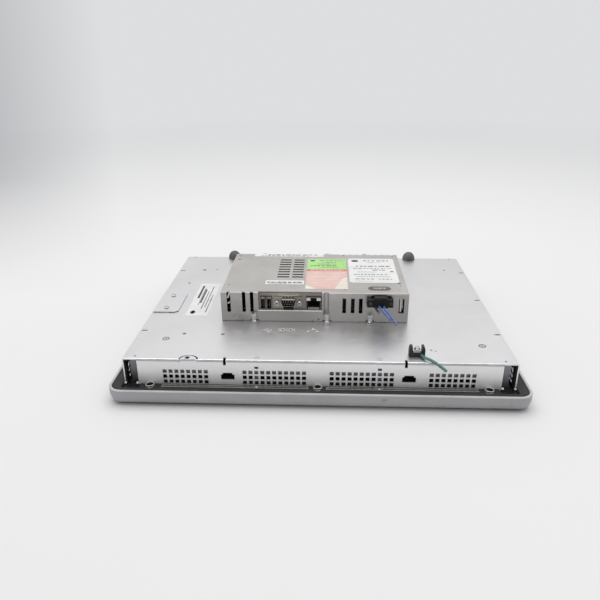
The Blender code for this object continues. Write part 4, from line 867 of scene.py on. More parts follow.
def make_lamps():
    for node_name, paint in (("power_lamp", "lamp_green"), ("fault_lamp", "lamp_red")):
        lens, radius, top = on_axis(node_name)
        lens.lathe(ORIGIN, (
            (0.0, 0.0), (radius * 0.55, 0.0001), (radius * 0.85, 0.0004), (radius * 0.95, 0.0010),
            (radius * 0.95, top - 0.0012), (radius, top - 0.0010), (radius, top), (0.0, top),
        ), sides=28)
        piece(node_name + "_lens", lens, paint, TERMINAL, node_name)


def make_folds():
    """A smooth steel strip on the housing's front fold for its highlight, painted shade under it, and the cut
    corners.
    """
    top = span("display_housing")[5]
    bend = FOLD_RADIUS

    def arc(first, last, lift):
        there = range(first, last + 1, 5)
        spots = [(bend + lift, math.radians(a)) for a in there]
        spots += [(bend - 0.0002, math.radians(a)) for a in reversed(there)]
        middle_y, middle_z = HOUSING_FRONT + bend, top - bend
        return [(middle_y + r * math.cos(a), middle_z + r * math.sin(a)) for r, a in spots]

    highlight_arc, shade, tab = arc(115, 170, 0.00014), arc(170, 180, 0.00008), arc(95, 180, 0.00012)
    shape = Shape()
    for start, end in zip(FOLD_ENDS[::2], FOLD_ENDS[1::2]):
        # The strip that carries the fold's highlight, and painted shade below it
        shape.prism(highlight_arc, start, end, "YZX")
        shape.prism(shade, start, end, "YZX", paint=1)
        low = (start, HOUSING_FRONT - 0.00008, top - bend - 0.0009)
        shape.box(low, (end, HOUSING_FRONT + 0.0002, top - bend), paint=1)
    # Painted shade over the screw tab, which keeps the fold's highlight off it
    shape.prism(tab, FOLD_ENDS[1] + 0.0009, FOLD_ENDS[2] - 0.0009, "YZX", paint=1)
    lug = [
        (HOUSING_FRONT - 0.0012, FLANGE_TOP), (HOUSING_FRONT + 0.0004, FLANGE_TOP + 0.0014),
        (HOUSING_FRONT + 0.0008, FLANGE_TOP),
    ]
    for side in (-1, 1):
        for x in CORNER_LUGS:
            shape.prism(lug, side * x - 0.0011, side * x + 0.0011, "YZX", bevel=0.0001)
    piece("fold_highlight_and_shade", shape, "steel fold_shade", TERMINAL)


def make_plate_marks():
    """Rings and dimples pressed into the housing's back."""
    shape = Shape((0.0, 0.0, span("display_housing")[5]))
    for x, y in PLATE_RINGS:
        shape.ring((x, y, 0.0), 0.0024, 0.0038, -0.0001, 0.00012)
        dot = ((0.0, -0.0001), (0.0012, -0.0001), (0.0012, 0.00003), (0.0, 0.00006))
        shape.lathe((x, y, 0.0), dot, sides=28, paint=1)
    for x, y, radius in PLATE_DIMPLES:
        shape.dimple((x, y, 0.0), radius, sides=24)
        dot = ((0.0, 0.0), (radius * 0.45, 0.0), (radius * 0.45, 0.00009), (0.0, 0.00010))
        shape.lathe((x, y, 0.0), dot, sides=20, paint=1)
    piece("plate_marks", shape, "inner dimple", TERMINAL)


def make_port_signs():
    """Plain signs for the three ports and the two brackets, each line on a wider dark one."""
    usb_x, usb_y = USB_SIGN
    serial_x, serial_y = SERIAL_SIGN
    net_x, net_y = NETWORK_SIGN
    strokes = [
        ((usb_x - 0.0058, usb_y), (usb_x + 0.0048, usb_y)),
        ((usb_x - 0.0022, usb_y), (usb_x + 0.0010, usb_y + 0.0036)),
        ((usb_x - 0.0002, usb_y), (usb_x + 0.0026, usb_y - 0.0034)),
        ((net_x - 0.0042, net_y - 0.0014), (net_x, net_y + 0.0022)),
        ((net_x, net_y + 0.0022), (net_x + 0.0042, net_y - 0.0014)),
    ]
    for x in (serial_x - 0.0084, serial_x, serial_x + 0.0086):
        strokes.append(((x, serial_y - 0.0036), (x, serial_y + 0.0036)))
    for x in BRACKET_SIGNS:
        y = BRACKET_SIGN_Y
        corners = [(x - 0.0024, y), (x, y + 0.0046), (x + 0.0024, y)]
        strokes += zip(corners, corners[1:] + corners[:1])
    dots = ((usb_x + 0.0056, usb_y, 0.0013), (usb_x + 0.0018, usb_y + 0.0040, 0.0011))
    squares = [(net_x + across, net_y - 0.0026) for across in (-0.0052, 0.0052)]
    squares += [(usb_x + 0.0036, usb_y - 0.0038), (net_x, net_y + 0.0036)]
    low = -0.0001
    signs = Shape((0.0, 0.0, span("display_housing")[5]))
    for grow, high, paint in ((0.0004, 0.00010, 1), (0.0, 0.00024, 0)):
        for ends in strokes:
            first, second = map(Vector, ends)
            ahead = (second - first).normalized()
            side = Vector((-ahead.y, ahead.x)) * (0.0005 + grow)
            outline = [first - side, second - side, second + side, first + side]
            signs.prism(outline, low, high, bevel=0.00005, paint=paint)
        for x, y, radius in dots:
            signs.disc((x, y, 0.0), radius + grow, low, high, paint=paint)
        for x, y in squares:
            half = 0.0013 + grow
            signs.box((x - half, y - half, low), (x + half, y + half, high), 0.00005, 1, paint)
        for x in (serial_x - 0.0044, serial_x + 0.0044):
            outline = rounded(0.0054 + 2 * grow, 0.0080 + 2 * grow, 0.0024, (x, serial_y))
            hole = rounded(0.0034 - 2 * grow, 0.0056 - 2 * grow, 0.0012, (x, serial_y))
            signs.prism(outline, low, high, hole=hole, paint=paint)
    piece("port_signs", signs, "bright dimple", TERMINAL)


def make_vent_baffle():
    """The pale inner wall just behind the top row of vents, between the chassis posts."""
    front = span("inner_chassis")[1] + 0.0006
    shape = Shape((0.0, front + 0.0006, BAFFLE_FLOOR))
    for side in (-1, 1):
        for start, end in BAFFLE_SPANS:
            shape.box((side * start, 0.0, 0.0), (side * end, 0.0006, BAFFLE_TOP - BAFFLE_FLOOR), 0.0002, 1)
            shape.box((side * start, 0.0, -0.0005), (side * end, 0.0034, 0.0001), 0.0002, 1)
    piece("vent_baffle", shape, "baffle", TERMINAL)


# ---- ports and plug on the logic module ----

def make_usb_ports():
    for number in (1, 2):
        shape, half, depth, height = on_node(f"usb_port_{number}")
        width = 2 * half
        middle_z = height / 2

        def outline(less, radius):
            return rounded(width - less, height - less, radius, (0.0, middle_z), 4)

        shape.prism(outline(0.0, 0.0007), 0.0, depth, "XZY", bevel=0.0001, hole=outline(0.0010, 0.0004))
        lining = outline(0.0019, 0.0003)
        shape.prism(outline(0.0011, 0.0004), 0.0004, depth - 0.001, "XZY", hole=lining, paint=1)
        high = (half - 0.0006, depth - 0.0005, height - 0.0006)
        shape.box((0.0006 - half, depth - 0.003, 0.0006), high, paint=1)
        shape.box((-0.0001, 0.0010, 0.0018), (0.0016, depth - 0.002, height - 0.0018), 0.0002, paint=1)
        for i in range(4):
            pin = 0.0035 + i * (height - 0.0070) / 3
            shape.box((-0.0004, 0.0016, pin - 0.0006), (0.0001, depth - 0.003, pin + 0.0006), 0.0001, 1, 2)
        for side in (-1, 1):
            for tab in (0.33 * height, 0.67 * height):
                low = (side * (half - 0.0012), 0.0012, tab - 0.0011)
                shape.box(low, (side * (half - 0.0004), 0.0060, tab + 0.0011), 0.0001, 1)
        # A painted highlight along the top of the inner shield, in the bright paint
        low = (0.0009 - half, -0.0001, height - 0.0017)
        shape.box(low, (half - 0.0009, 0.0008, height - 0.0011), 0.0001, 1, paint=3)
        piece(f"usb_socket_{number}", shape, "tan black brass bright", MODULE, f"usb_port_{number}")


def serial_outline(grow):
    """The D shape of the shell, wider at the top."""
    top, bottom, height, radius = (size + grow for size in (0.0083, 0.0069, 0.0042, 0.0020))
    outline = []
    corners = ((top, height, 0.0), (-top, height, 0.5), (-bottom, -height, 1.0), (bottom, -height, 1.5))
    for u, v, turn in corners:
        middle_u, middle_v = u - math.copysign(radius, u), v - math.copysign(radius, v)
        for step in range(6):
            angle = math.pi * (turn + step / 10)
            outline.append((middle_u + radius * math.cos(angle), middle_v + radius * math.sin(angle)))
    return outline


def make_serial_port():
    """Measured from the shell's front, in line with the jackscrews."""
    left, front, bottom, right, rear, top = span("serial_port")
    z = middle("jackscrew_1")[2]
    _, sheet, _, _, back, _ = span("port_plate")
    half, high, depth = (right - left) / 2, top - z, rear - front
    flange, flange_rear = sheet - 0.0011 - front, sheet - 0.0003 - front
    face = 0.0022
    shape = Shape(((left + right) / 2, front, z))

    def shell(outer, start, end, inner, bevel=0.0, paint=0):
        hole = serial_outline(inner)
        shape.prism(serial_outline(outer), start, end, "XZY", bevel, hole, paint)

    plate = rounded(2 * half, 2 * high, 0.0012)
    shape.prism(plate, flange, flange_rear, "XZY", bevel=0.00015, paint=3)
    shell(0.0, 0.0, flange + 0.0004, -0.0006, 0.0001)
    shell(0.0007, flange - 0.0004, flange + 0.0002, -0.0004, 0.0002, 3)
    # A black lining inside the shell: painted shade in the recess
    shell(-0.0006, 0.0002, flange + 0.0002, -0.0010, paint=1)
    shape.box((-0.0090, flange_rear - 0.0004, -0.0046), (0.0090, depth, 0.0046), 0.0002, paint=1)
    low = (-0.0086, back + 0.0003 - front, bottom - z)
    shape.box(low, (0.0086, depth - 0.0002, -0.0040), 0.0002, paint=1)
    shape.prism(serial_outline(-0.0009), face, flange + 0.0002, "XZY", bevel=0.0002, paint=1)
    pin = (
        (0.0, 0.0004), (0.00045, 0.0005), (0.00065, 0.0010), (0.00065, face + 0.0004), (0.0, face + 0.0004),
    )
    for count, height in ((5, 0.00142), (4, -0.00142)):
        for i in range(count):
            across = (i - (count - 1) / 2) * 0.00277
            shape.lathe((across, 0.0, height), pin, axis="Y", sides=12, paint=3)
    for x in (-0.0060, 0.0060):
        shape.box((x - 0.0007, 0.0010, 0.0040), (x + 0.0007, 0.0020, 0.00435), 0.0001, 1)
    # A painted highlight along the shell's top edge, in gold
    shape.box((-0.0071, -0.0001, 0.0037), (0.0071, 0.0012, 0.00425), 0.0001, 1, paint=2)
    # Black blocks for the dark notches at the shell's root: painted shade
    for x in (-0.0050, -0.0017, 0.0017, 0.0050):
        high_corner = (x + 0.0010, flange + 0.0002, 0.0060)
        shape.box((x - 0.0010, flange - 0.0003, 0.0048), high_corner, 0.0001, 1, paint=1)
    piece("serial_connector", shape, "dimple black gilt tan", MODULE, "serial_port")


def make_jackscrews():
    """Six-sided standoffs beside the serial port, each with a dimpled hole."""
    count = 36
    flat = 0.0024
    hole = 0.0012
    for number in (1, 2):
        node_name = f"jackscrew_{number}"
        x, _, z = middle(node_name)
        _, front, _, _, rear, _ = span(node_name)
        screw = Shape((x, front, z))
        round_hole = polygon(count, hole, count, 0.0)
        hexagon = polygon(6, flat, count, math.pi / 6)
        screw.prism(hexagon, 0.0004, rear - front, "XZY", bevel=0.0002, hole=round_hole)
        rim = ((hole, 0.0), (flat * 0.86, 0.0), (flat * 0.98, 0.0005), (hole, 0.0005))
        screw.lathe(ORIGIN, rim, axis="Y", sides=count, hollow=True)
        screw.lathe(ORIGIN, ((0.0, 0.0008), (0.0013, 0.0008), (0.0, 0.0016)), axis="Y", sides=20, paint=1)
        piece(f"hex_standoff_{number}", screw, "steel dimple", MODULE, node_name)


def make_ethernet_port():
    shape, half, depth, height = on_node("ethernet_port")
    middle_z = height / 2
    outline = rounded(2 * half, height, 0.0005, (0.0, middle_z), 3)
    hole = rounded(2 * half - 0.0010, height - 0.0010, 0.0003, (0.0, middle_z), 3)
    shape.prism(outline, 0.0, depth, "XZY", bevel=0.0001, hole=hole)
    roof = height - 0.0004
    blocks = (
        (0.0004 - half, -0.0060, 0.0004), (0.0060, half - 0.0004, 0.0004), (-0.0061, -0.0030, 0.0102),
        (0.0030, 0.0061, 0.0102), (-0.0031, 0.0031, 0.0130),
    )
    for left, right, bottom in blocks:
        shape.box((left, 0.0003, bottom), (right, depth - 0.0045, roof), 0.0001, 1, paint=1)
    shape.box((-0.0061, 0.0002, 0.0004), (0.0061, depth - 0.0045, 0.0028), 0.0002)
    high = (half - 0.0005, depth - 0.0005, height - 0.0005)
    shape.box((0.0005 - half, depth - 0.0050, 0.0005), high, paint=1)
    for side in (-1, 1):
        low = (side * 0.0034, -0.0003, height - 0.0038)
        shape.box(low, (side * 0.0077, 0.0015, height - 0.0007), 0.0002, paint=3)
        low = (side * half, 0.0030, middle_z - 0.0020)
        shape.box(low, (side * (half - 0.0006), 0.0100, middle_z + 0.0020), 0.0002)
    for i in range(8):
        x = (i - 3.5) * 0.00102
        path = ((x, 0.0014, 0.0016), (x, 0.0040, 0.0022), (x, depth - 0.0048, 0.0050))
        shape.tube(path, 0.00022, sides=6, paint=2)
    piece("network_socket", shape, "tan black brass clear", MODULE, "ethernet_port")


def make_power_inlet():
    left, front, bottom, right, rear, top = span("power_header")
    low_side, high_side = INLET_SPAN
    floor, roof = INLET_FLOOR - 0.0002, INLET_ROOF + 0.0002
    header = Shape()
    for low, high in (
        ((left, front, bottom), (right, rear, INLET_FLOOR)),
        ((left, front, INLET_ROOF), (right, rear, top)),
        ((left, front, floor), (low_side, rear, roof)),
        ((high_side, front, floor), (right, rear, roof)),
        ((left + 0.0002, rear - 0.0036, bottom + 0.0002), (right - 0.0002, rear, top - 0.0002)),
    ):
        header.box(low, high, 0.0003)
    for x in INLET_PINS:
        low = (x - 0.0006, rear - 0.0070, bottom)
        header.box(low, (x + 0.0006, rear - 0.0032, bottom + 0.0010), 0.0001, 1, paint=1)
    piece("power_inlet", header, "black steel", MODULE, "power_header")


def make_power_plug():
    left, front, bottom, right, rear, top = span("power_plug")
    wall = span("module_cover")[1] - 0.0004
    low_x, high_x = PLUG_BLOCK
    step = PLUG_STEP
    plug = Shape()
    for low, high, bevel, steps in (
        ((left, front + 0.0010, bottom + 0.0004), (right, wall, top - 0.0025), 0.0005, 3),
        ((low_x, front, bottom), (high_x, wall - 0.0004, top - 0.0010), 0.0004, 3),
        ((low_x + 0.0006, front + 0.0008, bottom + 0.004), (high_x - 0.0006, wall - 0.0008, top), 0.0004, 3),
        ((PLUG_NOSE[0], wall - 0.0010, bottom + 0.0014), (PLUG_NOSE[1], rear, top - 0.0021), 0.0003, 2),
        ((low_x + 0.0003, front - 0.0001, step), (high_x - 0.0003, front + 0.0004, step + 0.0006), 0.0001, 1),
    ):
        plug.box(low, high, bevel, steps)
    hole = WIRE_RADIUS * 1.02
    funnel = (
        (hole, front - 0.0004), (0.0019, front - 0.0003), (0.0023, front + 0.0004),
        (hole, front + 0.0006),
    )
    clamp_y = (front + wall) / 2
    for x, _, z in (points[0] for _, points in POWER_WIRES):
        plug.lathe((x, 0.0, z), funnel, axis="Y", sides=24, hollow=True)
        plug.ring((x, clamp_y, 0.0), 0.0014, 0.0019, top - 0.0006, top - 0.00002)
        plug.slotted((x, clamp_y), 0.00135, top - 0.0004, top - 0.0001, 0.0005, turn=0.9, paint=1)
    for x in (low_x - 0.0001, high_x + 0.0001):
        low = (x - 0.0005, front + 0.0004, bottom + 0.0006)
        plug.box(low, (x + 0.0005, wall - 0.001, top - 0.0016), 0.0003)
    head = (
        (0.0, front + 0.0004), (0.0017, front + 0.0004), (0.0020, front + 0.0007), (0.0020, front + 0.0012),
        (0.0, front + 0.0012),
    )
    for x in ((left + low_x) / 2, (right + high_x) / 2):
        plug.lathe((x, 0.0, EAR_SCREW_Z), head, axis="Y", sides=24, paint=1)
        centre = (x, EAR_SCREW_Z)
        plug.slotted(centre, 0.0017, front + 0.0001, front + 0.0005, 0.0006, "XZY", 0.7, 0.0001, 1)
    piece("plug_body", plug, "black dark_label", PLUG, "power_plug")


def make_captive_screws():
    """Knurled heads, each on a collar with a spring where there is room for them."""
    for number in range(1, 7):
        node_name = f"captive_screw_{number}"
        shape, radius, top = on_axis(node_name)
        base = span("module_base")[5] + 0.0003 - span(node_name)[2]
        head = max(base, top - 0.0100)
        threads(shape, base, 0.0015)
        if head > base:
            shape.lathe(ORIGIN, (
                (0.0, base - 0.0001), (0.0027, base), (0.0027, base + 0.0008), (0.0021, base + 0.0012),
                (0.0021, head), (0.0, head),
            ), sides=24)
            turns = 7
            for turn in range(turns):
                height = base + 0.0016 + turn * (head - base - 0.0022) / (turns - 1)
                low, high = height - 0.00025, height + 0.00025
                shape.ring(ORIGIN, 0.0019, 0.00255, low, high, chamfer=0.00015, sides=20)
        shape.lathe(ORIGIN, (
            (0.0, head), (radius * 0.80, head), (radius * 0.86, head + 0.0004),
            (radius * 0.86, head + 0.0010), (radius * 0.74, head + 0.0013),
            (radius * 0.74, head + 0.0017), (radius * 0.82, head + 0.0019, 1),
            (radius * 0.82, top - 0.0037, 1), (radius * 0.70, top - 0.0035),
            (radius * 0.70, top - 0.0029), (radius * 0.94, top - 0.0027), (radius, top - 0.0024),
            (radius, top - 0.0010), (radius * 0.95, top - 0.0007), (0.0, top - 0.0007),
        ), sides=40, ribs=0.06)
        turn = 0.35 * number
        shape.slotted((0.0, 0.0), radius * 0.92, top - 0.0009, top, 0.0010, turn=turn, bevel=0.0003)
        piece(f"thumb_screw_{number}", shape, "steel", node_name, node_name)


# ---- labels ----

LABEL_PAINTS = "ink dark_label red_print cream_print white_label"
INK_PAINT, DARK, RED, CREAM, PALE = range(1, 6)


def label(name, node_name, paint, corner, rows, body, extra=None):
    """A printed sticker: a thin plate with rows of blank marks for print, no lettering.

    Each row is (height share, first and last width share, mark size, paint). extra gets the
    shape, the sticker's width and its depth, and measures from its lower left corner.
    """
    left, front, _, right, rear, _ = span(node_name)
    width, depth = right - left, rear - front
    base = span("module_cover" if body == MODULE else "display_housing")[5]
    shape = Shape((left, front, base + STICKER))
    outline = rounded(width, depth, corner, (width / 2, depth / 2), 4)
    shape.prism(outline, -STICKER - 0.0001, 0.0, bevel=0.00003)
    draw = random.Random(name)
    for share, start, end, size, tint in rows:
        y = share * depth
        x = start * width
        while True:
            long = size * draw.uniform(0.8, 3.2)
            if x + long > end * width:
                break
            shape.box((x, y - size / 2, -SUNK), (x + long, y + size / 2, INK), paint=tint)
            x += long + size * draw.uniform(0.5, 1.1)
    if extra:
        extra(shape, width, depth)
    piece(name, shape, f"{paint} {LABEL_PAINTS}", body, node_name)


def oval(shape, centre, width, height, paint=DARK):
    outline = rounded(width, height, height * 0.49, centre, 6)
    shape.prism(outline, -SUNK, INK, paint=paint)


def green_extra(shape, _, depth):
    oval(shape, (0.0065, depth - 0.0060), 0.0064, 0.0050)


def notice_extra(shape, width, depth):
    """A red band, a cream corner and a pale one."""
    high = INK / 2
    edge = width - 0.0003
    cream = [
        (width - 0.0150, 0.0003), (edge, 0.0003), (edge, depth - 0.0250), (width - 0.0060, depth - 0.0300),
    ]
    shape.box((0.0, depth - 0.0060, -SUNK), (width, depth - 0.0003, high), paint=RED)
    shape.prism(cream, -SUNK, high, paint=CREAM)
    shape.prism([(0.0003, 0.0003), (0.0120, 0.0003), (0.0003, 0.0110)], -SUNK, high, paint=PALE)


def rating_extra(shape, width, depth):
    oval(shape, (0.0085, depth - 0.0090), 0.0088, 0.0072)
    oval(shape, (width - 0.0055, 0.0360), 0.0040, 0.0030, INK_PAINT)


def back_extra(shape, _, depth):
    """Two long dark bars, a spot, and columns of small marks."""
    shape.box((0.0040, 0.050, -SUNK), (0.0066, depth - 0.008, INK), paint=DARK)
    shape.box((0.0100, 0.036, -SUNK), (0.0118, depth - 0.020, INK), paint=DARK)
    oval(shape, (0.0070, 0.0100), 0.0062, 0.0088)
    for column, y, end in BACK_COLUMNS:
        draw = random.Random(str(column))
        while y < end:
            long = draw.uniform(0.0010, 0.0032)
            shape.box((column, y, -SUNK), (column + 0.0014, y + long, INK), paint=INK_PAINT)
            y += long + draw.uniform(0.0006, 0.0012)


def make_labels():
    label("edge_sticker", "module_label_edge", "white_label", 0.0003, (
        (0.28, 0.10, 0.86, 0.0018, INK_PAINT), (0.70, 0.20, 0.97, 0.0022, DARK),
    ), MODULE)
    label("green_sticker", "module_label_green", "green_label", 0.0004, (
        (0.84, 0.32, 0.95, 0.0017, DARK), (0.66, 0.38, 0.80, 0.0013, INK_PAINT),
        (0.50, 0.26, 0.74, 0.0014, INK_PAINT), (0.33, 0.10, 0.88, 0.0022, DARK),
        (0.16, 0.30, 0.84, 0.0013, INK_PAINT),
    ), MODULE, green_extra)
    notice_rows = [(0.955, 0.10, 0.92, 0.0016, PALE)]
    for i in range(10):
        tint = PALE if i % 2 else CREAM
        notice_rows.append((0.84 - 0.075 * i, 0.05, 0.93 - 0.04 * (i % 3), 0.0009, tint))
    label("notice_sticker", "module_label_notice", "pink_label", 0.0004, notice_rows, MODULE, notice_extra)
    label("rating_sticker", "module_label_rating", "white_label", 0.0045, (
        (0.90, 0.34, 0.93, 0.0024, DARK), (0.82, 0.40, 0.72, 0.0010, INK_PAINT),
        (0.66, 0.16, 0.92, 0.0024, DARK), (0.57, 0.10, 0.94, 0.0017, INK_PAINT),
        (0.50, 0.50, 0.80, 0.0022, DARK), (0.42, 0.18, 0.56, 0.0010, INK_PAINT),
        (0.32, 0.10, 0.86, 0.0018, INK_PAINT), (0.24, 0.14, 0.84, 0.0010, INK_PAINT),
        (0.14, 0.12, 0.54, 0.0018, DARK), (0.14, 0.60, 0.88, 0.0016, DARK),
        (0.06, 0.12, 0.50, 0.0009, INK_PAINT),
    ), MODULE, rating_extra)
    label("strip_sticker", "module_label_strip", "white_label", 0.0003, (
        (0.54, 0.04, 0.97, 0.0018, DARK), (0.34, 0.05, 0.96, 0.0016, DARK),
        (0.10, 0.10, 0.60, 0.0009, INK_PAINT),
    ), MODULE)
    label("oval_badge", "module_label_oval", "badge", 0.0054, (
        (0.62, 0.24, 0.78, 0.0010, PALE), (0.42, 0.26, 0.76, 0.0010, PALE),
    ), MODULE)
    label("back_sticker", "back_label", "white_label", 0.0004, (), TERMINAL, back_extra)


# ---- details of the logic module ----

def make_module_marks():
    """Rivet dimples, bright bracket edges seen through the end slots, and the window's sill."""
    _, front, _, _, _, deck = span("module_cover")
    rivets = Shape()
    for x, y, radius in TOP_DIMPLES:
        rivets.dimple((x, y, deck), radius)
    for x, z, radius in FRONT_DIMPLES:
        rivets.dimple((x, front, z), radius, "Y", -1)
    piece("module_rivets", rivets, "dimple", MODULE)

    inside = Shape((0.0, front, 0.0))
    for low, high, lean in SPRING_STRIPS:
        lower, upper = SPRING_SLOT_X - lean, SPRING_SLOT_X + lean
        outline = [
            (lower - 0.0012, low), (lower + 0.0008, low), (upper + 0.0012, high), (upper - 0.0008, high),
        ]
        inside.prism(outline, 0.0014, 0.0026, "XZY", bevel=0.0003)
    x = SHINY_SLOT_X
    inside.box((x - 0.0016, 0.0016, 0.0560), (x + 0.0002, 0.0080, 0.0740), 0.0003)
    inside.box((x + 0.0006, 0.0024, 0.0590), (x + 0.0014, 0.0060, 0.0735), 0.0002)
    piece("inner_brackets", inside, "bright", MODULE)

    sill = Shape((0.0, front, WINDOW_SILL))
    lip = [(0.0024, -0.0014), (-0.0002, -0.0014), (-0.0006, -0.0011), (0.0006, 0.0), (0.0024, 0.0)]
    sill.prism(lip, *WINDOW_SPAN, "YZX")
    # A black block in the notch under the serial port: painted shade
    notch_left, notch_right = SERIAL_NOTCH
    sill.box((notch_left, 0.0006, -0.0002), (notch_right, 0.0020, 0.0020), 0.0001, 1, paint=1)
    piece("window_sill", sill, "polished black", MODULE)


# ---- what is added to the CAD shapes that stay ----

def board_parts(shape, top, chips):
    """Packages with leads, and small resistors, on a board. chips are (x, y, width, depth)."""
    black, lead = 1, 2
    for x, y, width, depth in chips:
        low = (x - width / 2, y - depth / 2, top + 0.0002)
        shape.box(low, (x + width / 2, y + depth / 2, top + 0.0014), 0.00015, 1, black)
        count = int(depth / 0.0016)
        for i in range(count):
            row = y - depth / 2 + (i + 0.5) * depth / count
            for side in (-1, 1):
                near, far = x + side * (width / 2 - 0.0002), x + side * (width / 2 + 0.0009)
                shape.box((near, row - 0.0003, top), (far, row + 0.0003, top + 0.0006), paint=lead)
        for _ in range(3):
            spot_x = x + board_draw.uniform(-0.8, 0.8) * width
            side = board_draw.choice((-1, 1))
            spot_y = y + side * (depth / 2 + board_draw.uniform(0.0012, 0.0030))
            low = (spot_x - 0.0010, spot_y - 0.0006, top)
            shape.box(low, (spot_x + 0.0010, spot_y + 0.0006, top + 0.0006), 0.0001, 1, black)


def main_board_parts(shape):
    board_parts(shape, span("main_board")[5], BOARD_CHIPS)


def inverter_parts(shape):
    board_parts(shape, INVERTER_TOP, INVERTER_CHIPS)


def display_parts(shape):
    board_parts(shape, span("display_board")[5], DISPLAY_CHIPS)


def contacts(shape, start, end, rows, half_depth, low, high):
    """Rows of small contacts at an even pitch."""
    x = start
    while x < end:
        for y in rows:
            shape.box((x - 0.0003, y - half_depth, low), (x + 0.0003, y + half_depth, high), paint=1)
        x += 0.0016


def socket_contacts(shape):
    left, front, _, right, rear, top = span("docking_socket")
    rows = (front + 0.0016, rear - 0.0016)
    contacts(shape, left + 0.005, right - 0.005, rows, 0.0004, top - 0.0004, top + 0.0001)


def plug_contacts(shape):
    left, front, bottom, right, rear, _ = span("docking_plug")
    rows = (front, rear)
    contacts(shape, left + 0.002, right - 0.002, rows, 0.0002, bottom + 0.0010, bottom + 0.0070)


def bezel_faces(shape):
    """Painted highlight on the rim's upward faces, and charcoal on the faces towards the floor at the front
    edge, partly a dark front face and partly painted contact shadow, and on the low floor inside as painted
    shade.
    """
    for face in shape.mesh.faces:
        spot = face.calc_center_median()
        # Painted highlight: the rim's upward faces take the lighter rim paint
        if face.normal.z > 0.35 and spot.z > BEZEL_RIM:
            face.material_index = 1
        # Charcoal on faces towards the floor at the front edge: partly a dark front face, partly painted
        # contact shadow
        elif face.normal.z < -0.45 and spot.z < BEZEL_FACE:
            face.material_index = 2
        # Painted shade on the low floor inside the bezel
        elif face.normal.z > 0.9 and spot.z < BEZEL_FLOOR:
            face.material_index = 2


def tray_foam(shape):
    """Painted shade behind the vents: the tray's low faces take the gasket's dark colour, and a dark strip
    runs along its front.
    """
    for face in shape.mesh.faces:
        # Painted shade: low upward and forward faces in the gasket's dark colour
        if face.calc_center_median().z < TRAY_SHADE and (face.normal.z > 0.9 or face.normal.y < -0.7):
            face.material_index = 1
    left, front, _, right, _, _ = span("inner_chassis")
    # A dark strip along the tray's front, painted shade seen through the vents
    low = (left + 0.0001, front - 0.0002, SHADE_STRIP[0])
    shape.box(low, (right - 0.0001, front + 0.0005, SHADE_STRIP[1]), 0.00005, 1, 1)


def flange_foam(shape):
    """Painted shade in dark paints on the flange, its corner notches and ridge tops, zinc lines along the
    ridges, and a lit copy of the zinc on the front wall.
    """
    for face in shape.mesh.faces:
        spot = face.calc_center_median()
        outside = spot.y < HOUSING_FRONT or abs(spot.x) > FLANGE_ENDS
        # Painted shade in the gasket's colour on flat flange faces outside the wall and in the corner notches
        if face.normal.z > 0.9 and DARK_FLANGE_FLOOR < spot.z < FLANGE_TOP and outside:
            face.material_index = 1
        # Painted shade on the ridge tops
        elif face.normal.z > 0.9 and FLANGE_TOP < spot.z < RIDGE_TOP + 0.0004 and spot.y < RIDGE_REAR:
            face.material_index = 2
        # Painted light: the front wall takes a lighter, less metallic copy of the zinc
        elif face.normal.y < -0.9 and spot.z > WALL_FOOT and abs(spot.y - WALL_MIDDLE) < 0.0003:
            face.material_index = 3
    for left, right in RIDGE_SPANS:
        for front in RIDGE_FRONTS:
            low = (left, front, RIDGE_TOP - 0.0004)
            shape.box(low, (right, front + 0.0005, RIDGE_TOP + 0.0001), 0.0001, 1)


def bright_tabs(shape):
    """The lugs under the screws, outside the module's wall, take the lighter zinc finish."""
    wall = span("module_cover")[1] - 0.0002
    for face in shape.mesh.faces:
        if face.calc_center_median().y < wall:
            face.material_index = 1


def port_crease(shape):
    """A shallow fold in the sheet above the serial port, its lighter line painted on as a highlight."""
    front = span("port_plate")[1]
    x = middle("serial_port")[0]
    for end in (x - CREASE_REACH, x + CREASE_REACH):
        outline = [
            (x, CREASE_MIDDLE), (x, CREASE_MIDDLE + 0.0007), (end, CREASE_END + 0.0005), (end, CREASE_END),
        ]
        shape.prism(outline, front - 0.0002, front + 0.0002, "XZY", bevel=0.00005, paint=1)


def battery_ring(shape):
    x, y, _ = middle("clock_battery")
    top = span("clock_battery")[5]
    shape.ring((x, y, top), 0.0072, 0.0078, -0.0001, 0.0001)
    shape.box((x - 0.0020, y - 0.0115, top - 0.0028), (x + 0.0020, y + 0.0020, top + 0.0004), 0.0002)


def card_details(shape):
    left, _, _, right, rear, top = span("memory_card")
    low = (left + 0.0060, rear - 0.0300, top - SUNK)
    shape.box(low, (right - 0.0060, rear - 0.0040, top + 0.00008), 0.00003, 1, paint=1)
    shape.box((left + 0.0010, rear - 0.0009, top - 0.0024), (right - 0.0010, rear, top - 0.0009), 0.0002, 1)


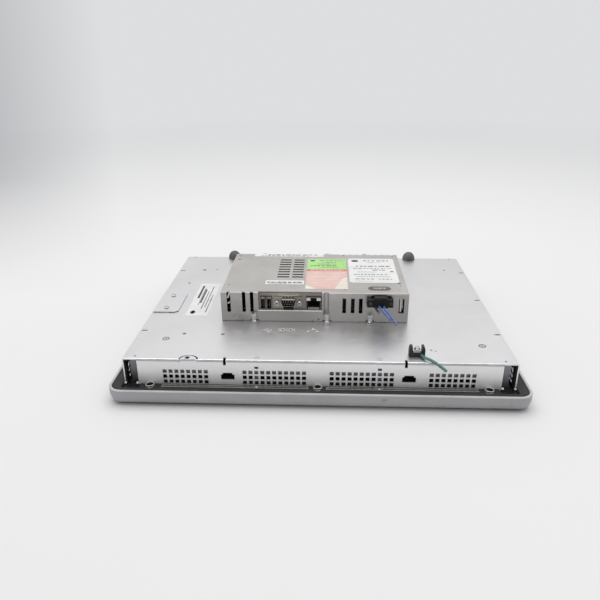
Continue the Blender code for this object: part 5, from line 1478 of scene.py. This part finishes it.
# Each row: CAD node, new name, finishes, body, softened edge and what is added
REFINED = (
    ("bezel_frame", "bezel_shell", "bezel rim charcoal", TERMINAL, 0.0004, bezel_faces),
    ("panel_gasket", "gasket_strip", "gasket", TERMINAL, 0.0001),
    ("display_housing", "housing_shell", "zinc gasket badge wall", TERMINAL, 0.00012, flange_foam),
    ("access_cover", "inverter_cover", "zinc", TERMINAL, 0.00015),
    ("inner_chassis", "chassis_tray", "inner gasket", TERMINAL, 0.0001, tray_foam),
    ("lcd_panel", "lcd_case", "inner", TERMINAL, 0.0002),
    ("touch_screen", "touch_glass", "glass", TERMINAL, 0.0002),
    ("display_board", "interface_board", "laminate black steel", TERMINAL, 0.0001, display_parts),
    ("inverter_board", "backlight_board", "laminate black steel", TERMINAL, 0.0001, inverter_parts),
    ("docking_socket", "board_socket", "black brass", TERMINAL, 0.0002, socket_contacts),
    ("rubber_foot_left", "bumper_left", "rubber", TERMINAL, 0.0002),
    ("rubber_foot_right", "bumper_right", "rubber", TERMINAL, 0.0002),
    ("module_cover", "module_shell", "module", MODULE, 0.00012),
    ("module_base", "module_floor", "module zinc", MODULE, 0.00012, bright_tabs),
    ("port_plate", "port_sheet", "tan bright", MODULE, 0.0001, port_crease),
    ("main_board", "logic_board", "laminate black steel", MODULE, 0.0001, main_board_parts),
    ("docking_plug", "board_plug", "black brass", MODULE, 0.0002, plug_contacts),
    ("heat_sink", "finned_sink", "aluminium", MODULE, 0.00012),
    ("clock_battery", "coin_cell", "steel", MODULE, 0.0003, battery_ring),
    ("card_socket", "card_cage", "black", MODULE, 0.0003),
    ("memory_card", "flash_card", "black white_label", "memory_card", 0.0002, card_details),
    ("card_eject_button", "eject_lever", "black", "card_eject_button", 0.0003),
)

MATERIALS = {name: surface(name, *finish[:-1], **finish[-1]) for name, finish in FINISHES.items()}
board_draw = random.Random(15)

# ---- the scene ----

make_camera()
for (wire_node, wire_points), wire_paint in zip(POWER_WIRES, ("blue", "blue", "sooty")):
    make_wire(wire_node, wire_points, wire_paint, PLUG)
make_wire("ground_wire", GROUND_WIRE, "green", TERMINAL, GROUND_WIRE_RADIUS)

bpy.context.scene.view_settings.view_transform = "Standard"
make_world()
make_softbox()
make_floor()

for row in REFINED:
    refined(*row)
make_flange_hardware()
make_cover_screws()
make_ground_terminal()
make_lamps()
make_folds()
make_plate_marks()
make_port_signs()
make_usb_ports()
make_serial_port()
make_jackscrews()
make_ethernet_port()
make_power_inlet()
make_power_plug()
make_captive_screws()
make_labels()
make_module_marks()
make_vent_baffle()
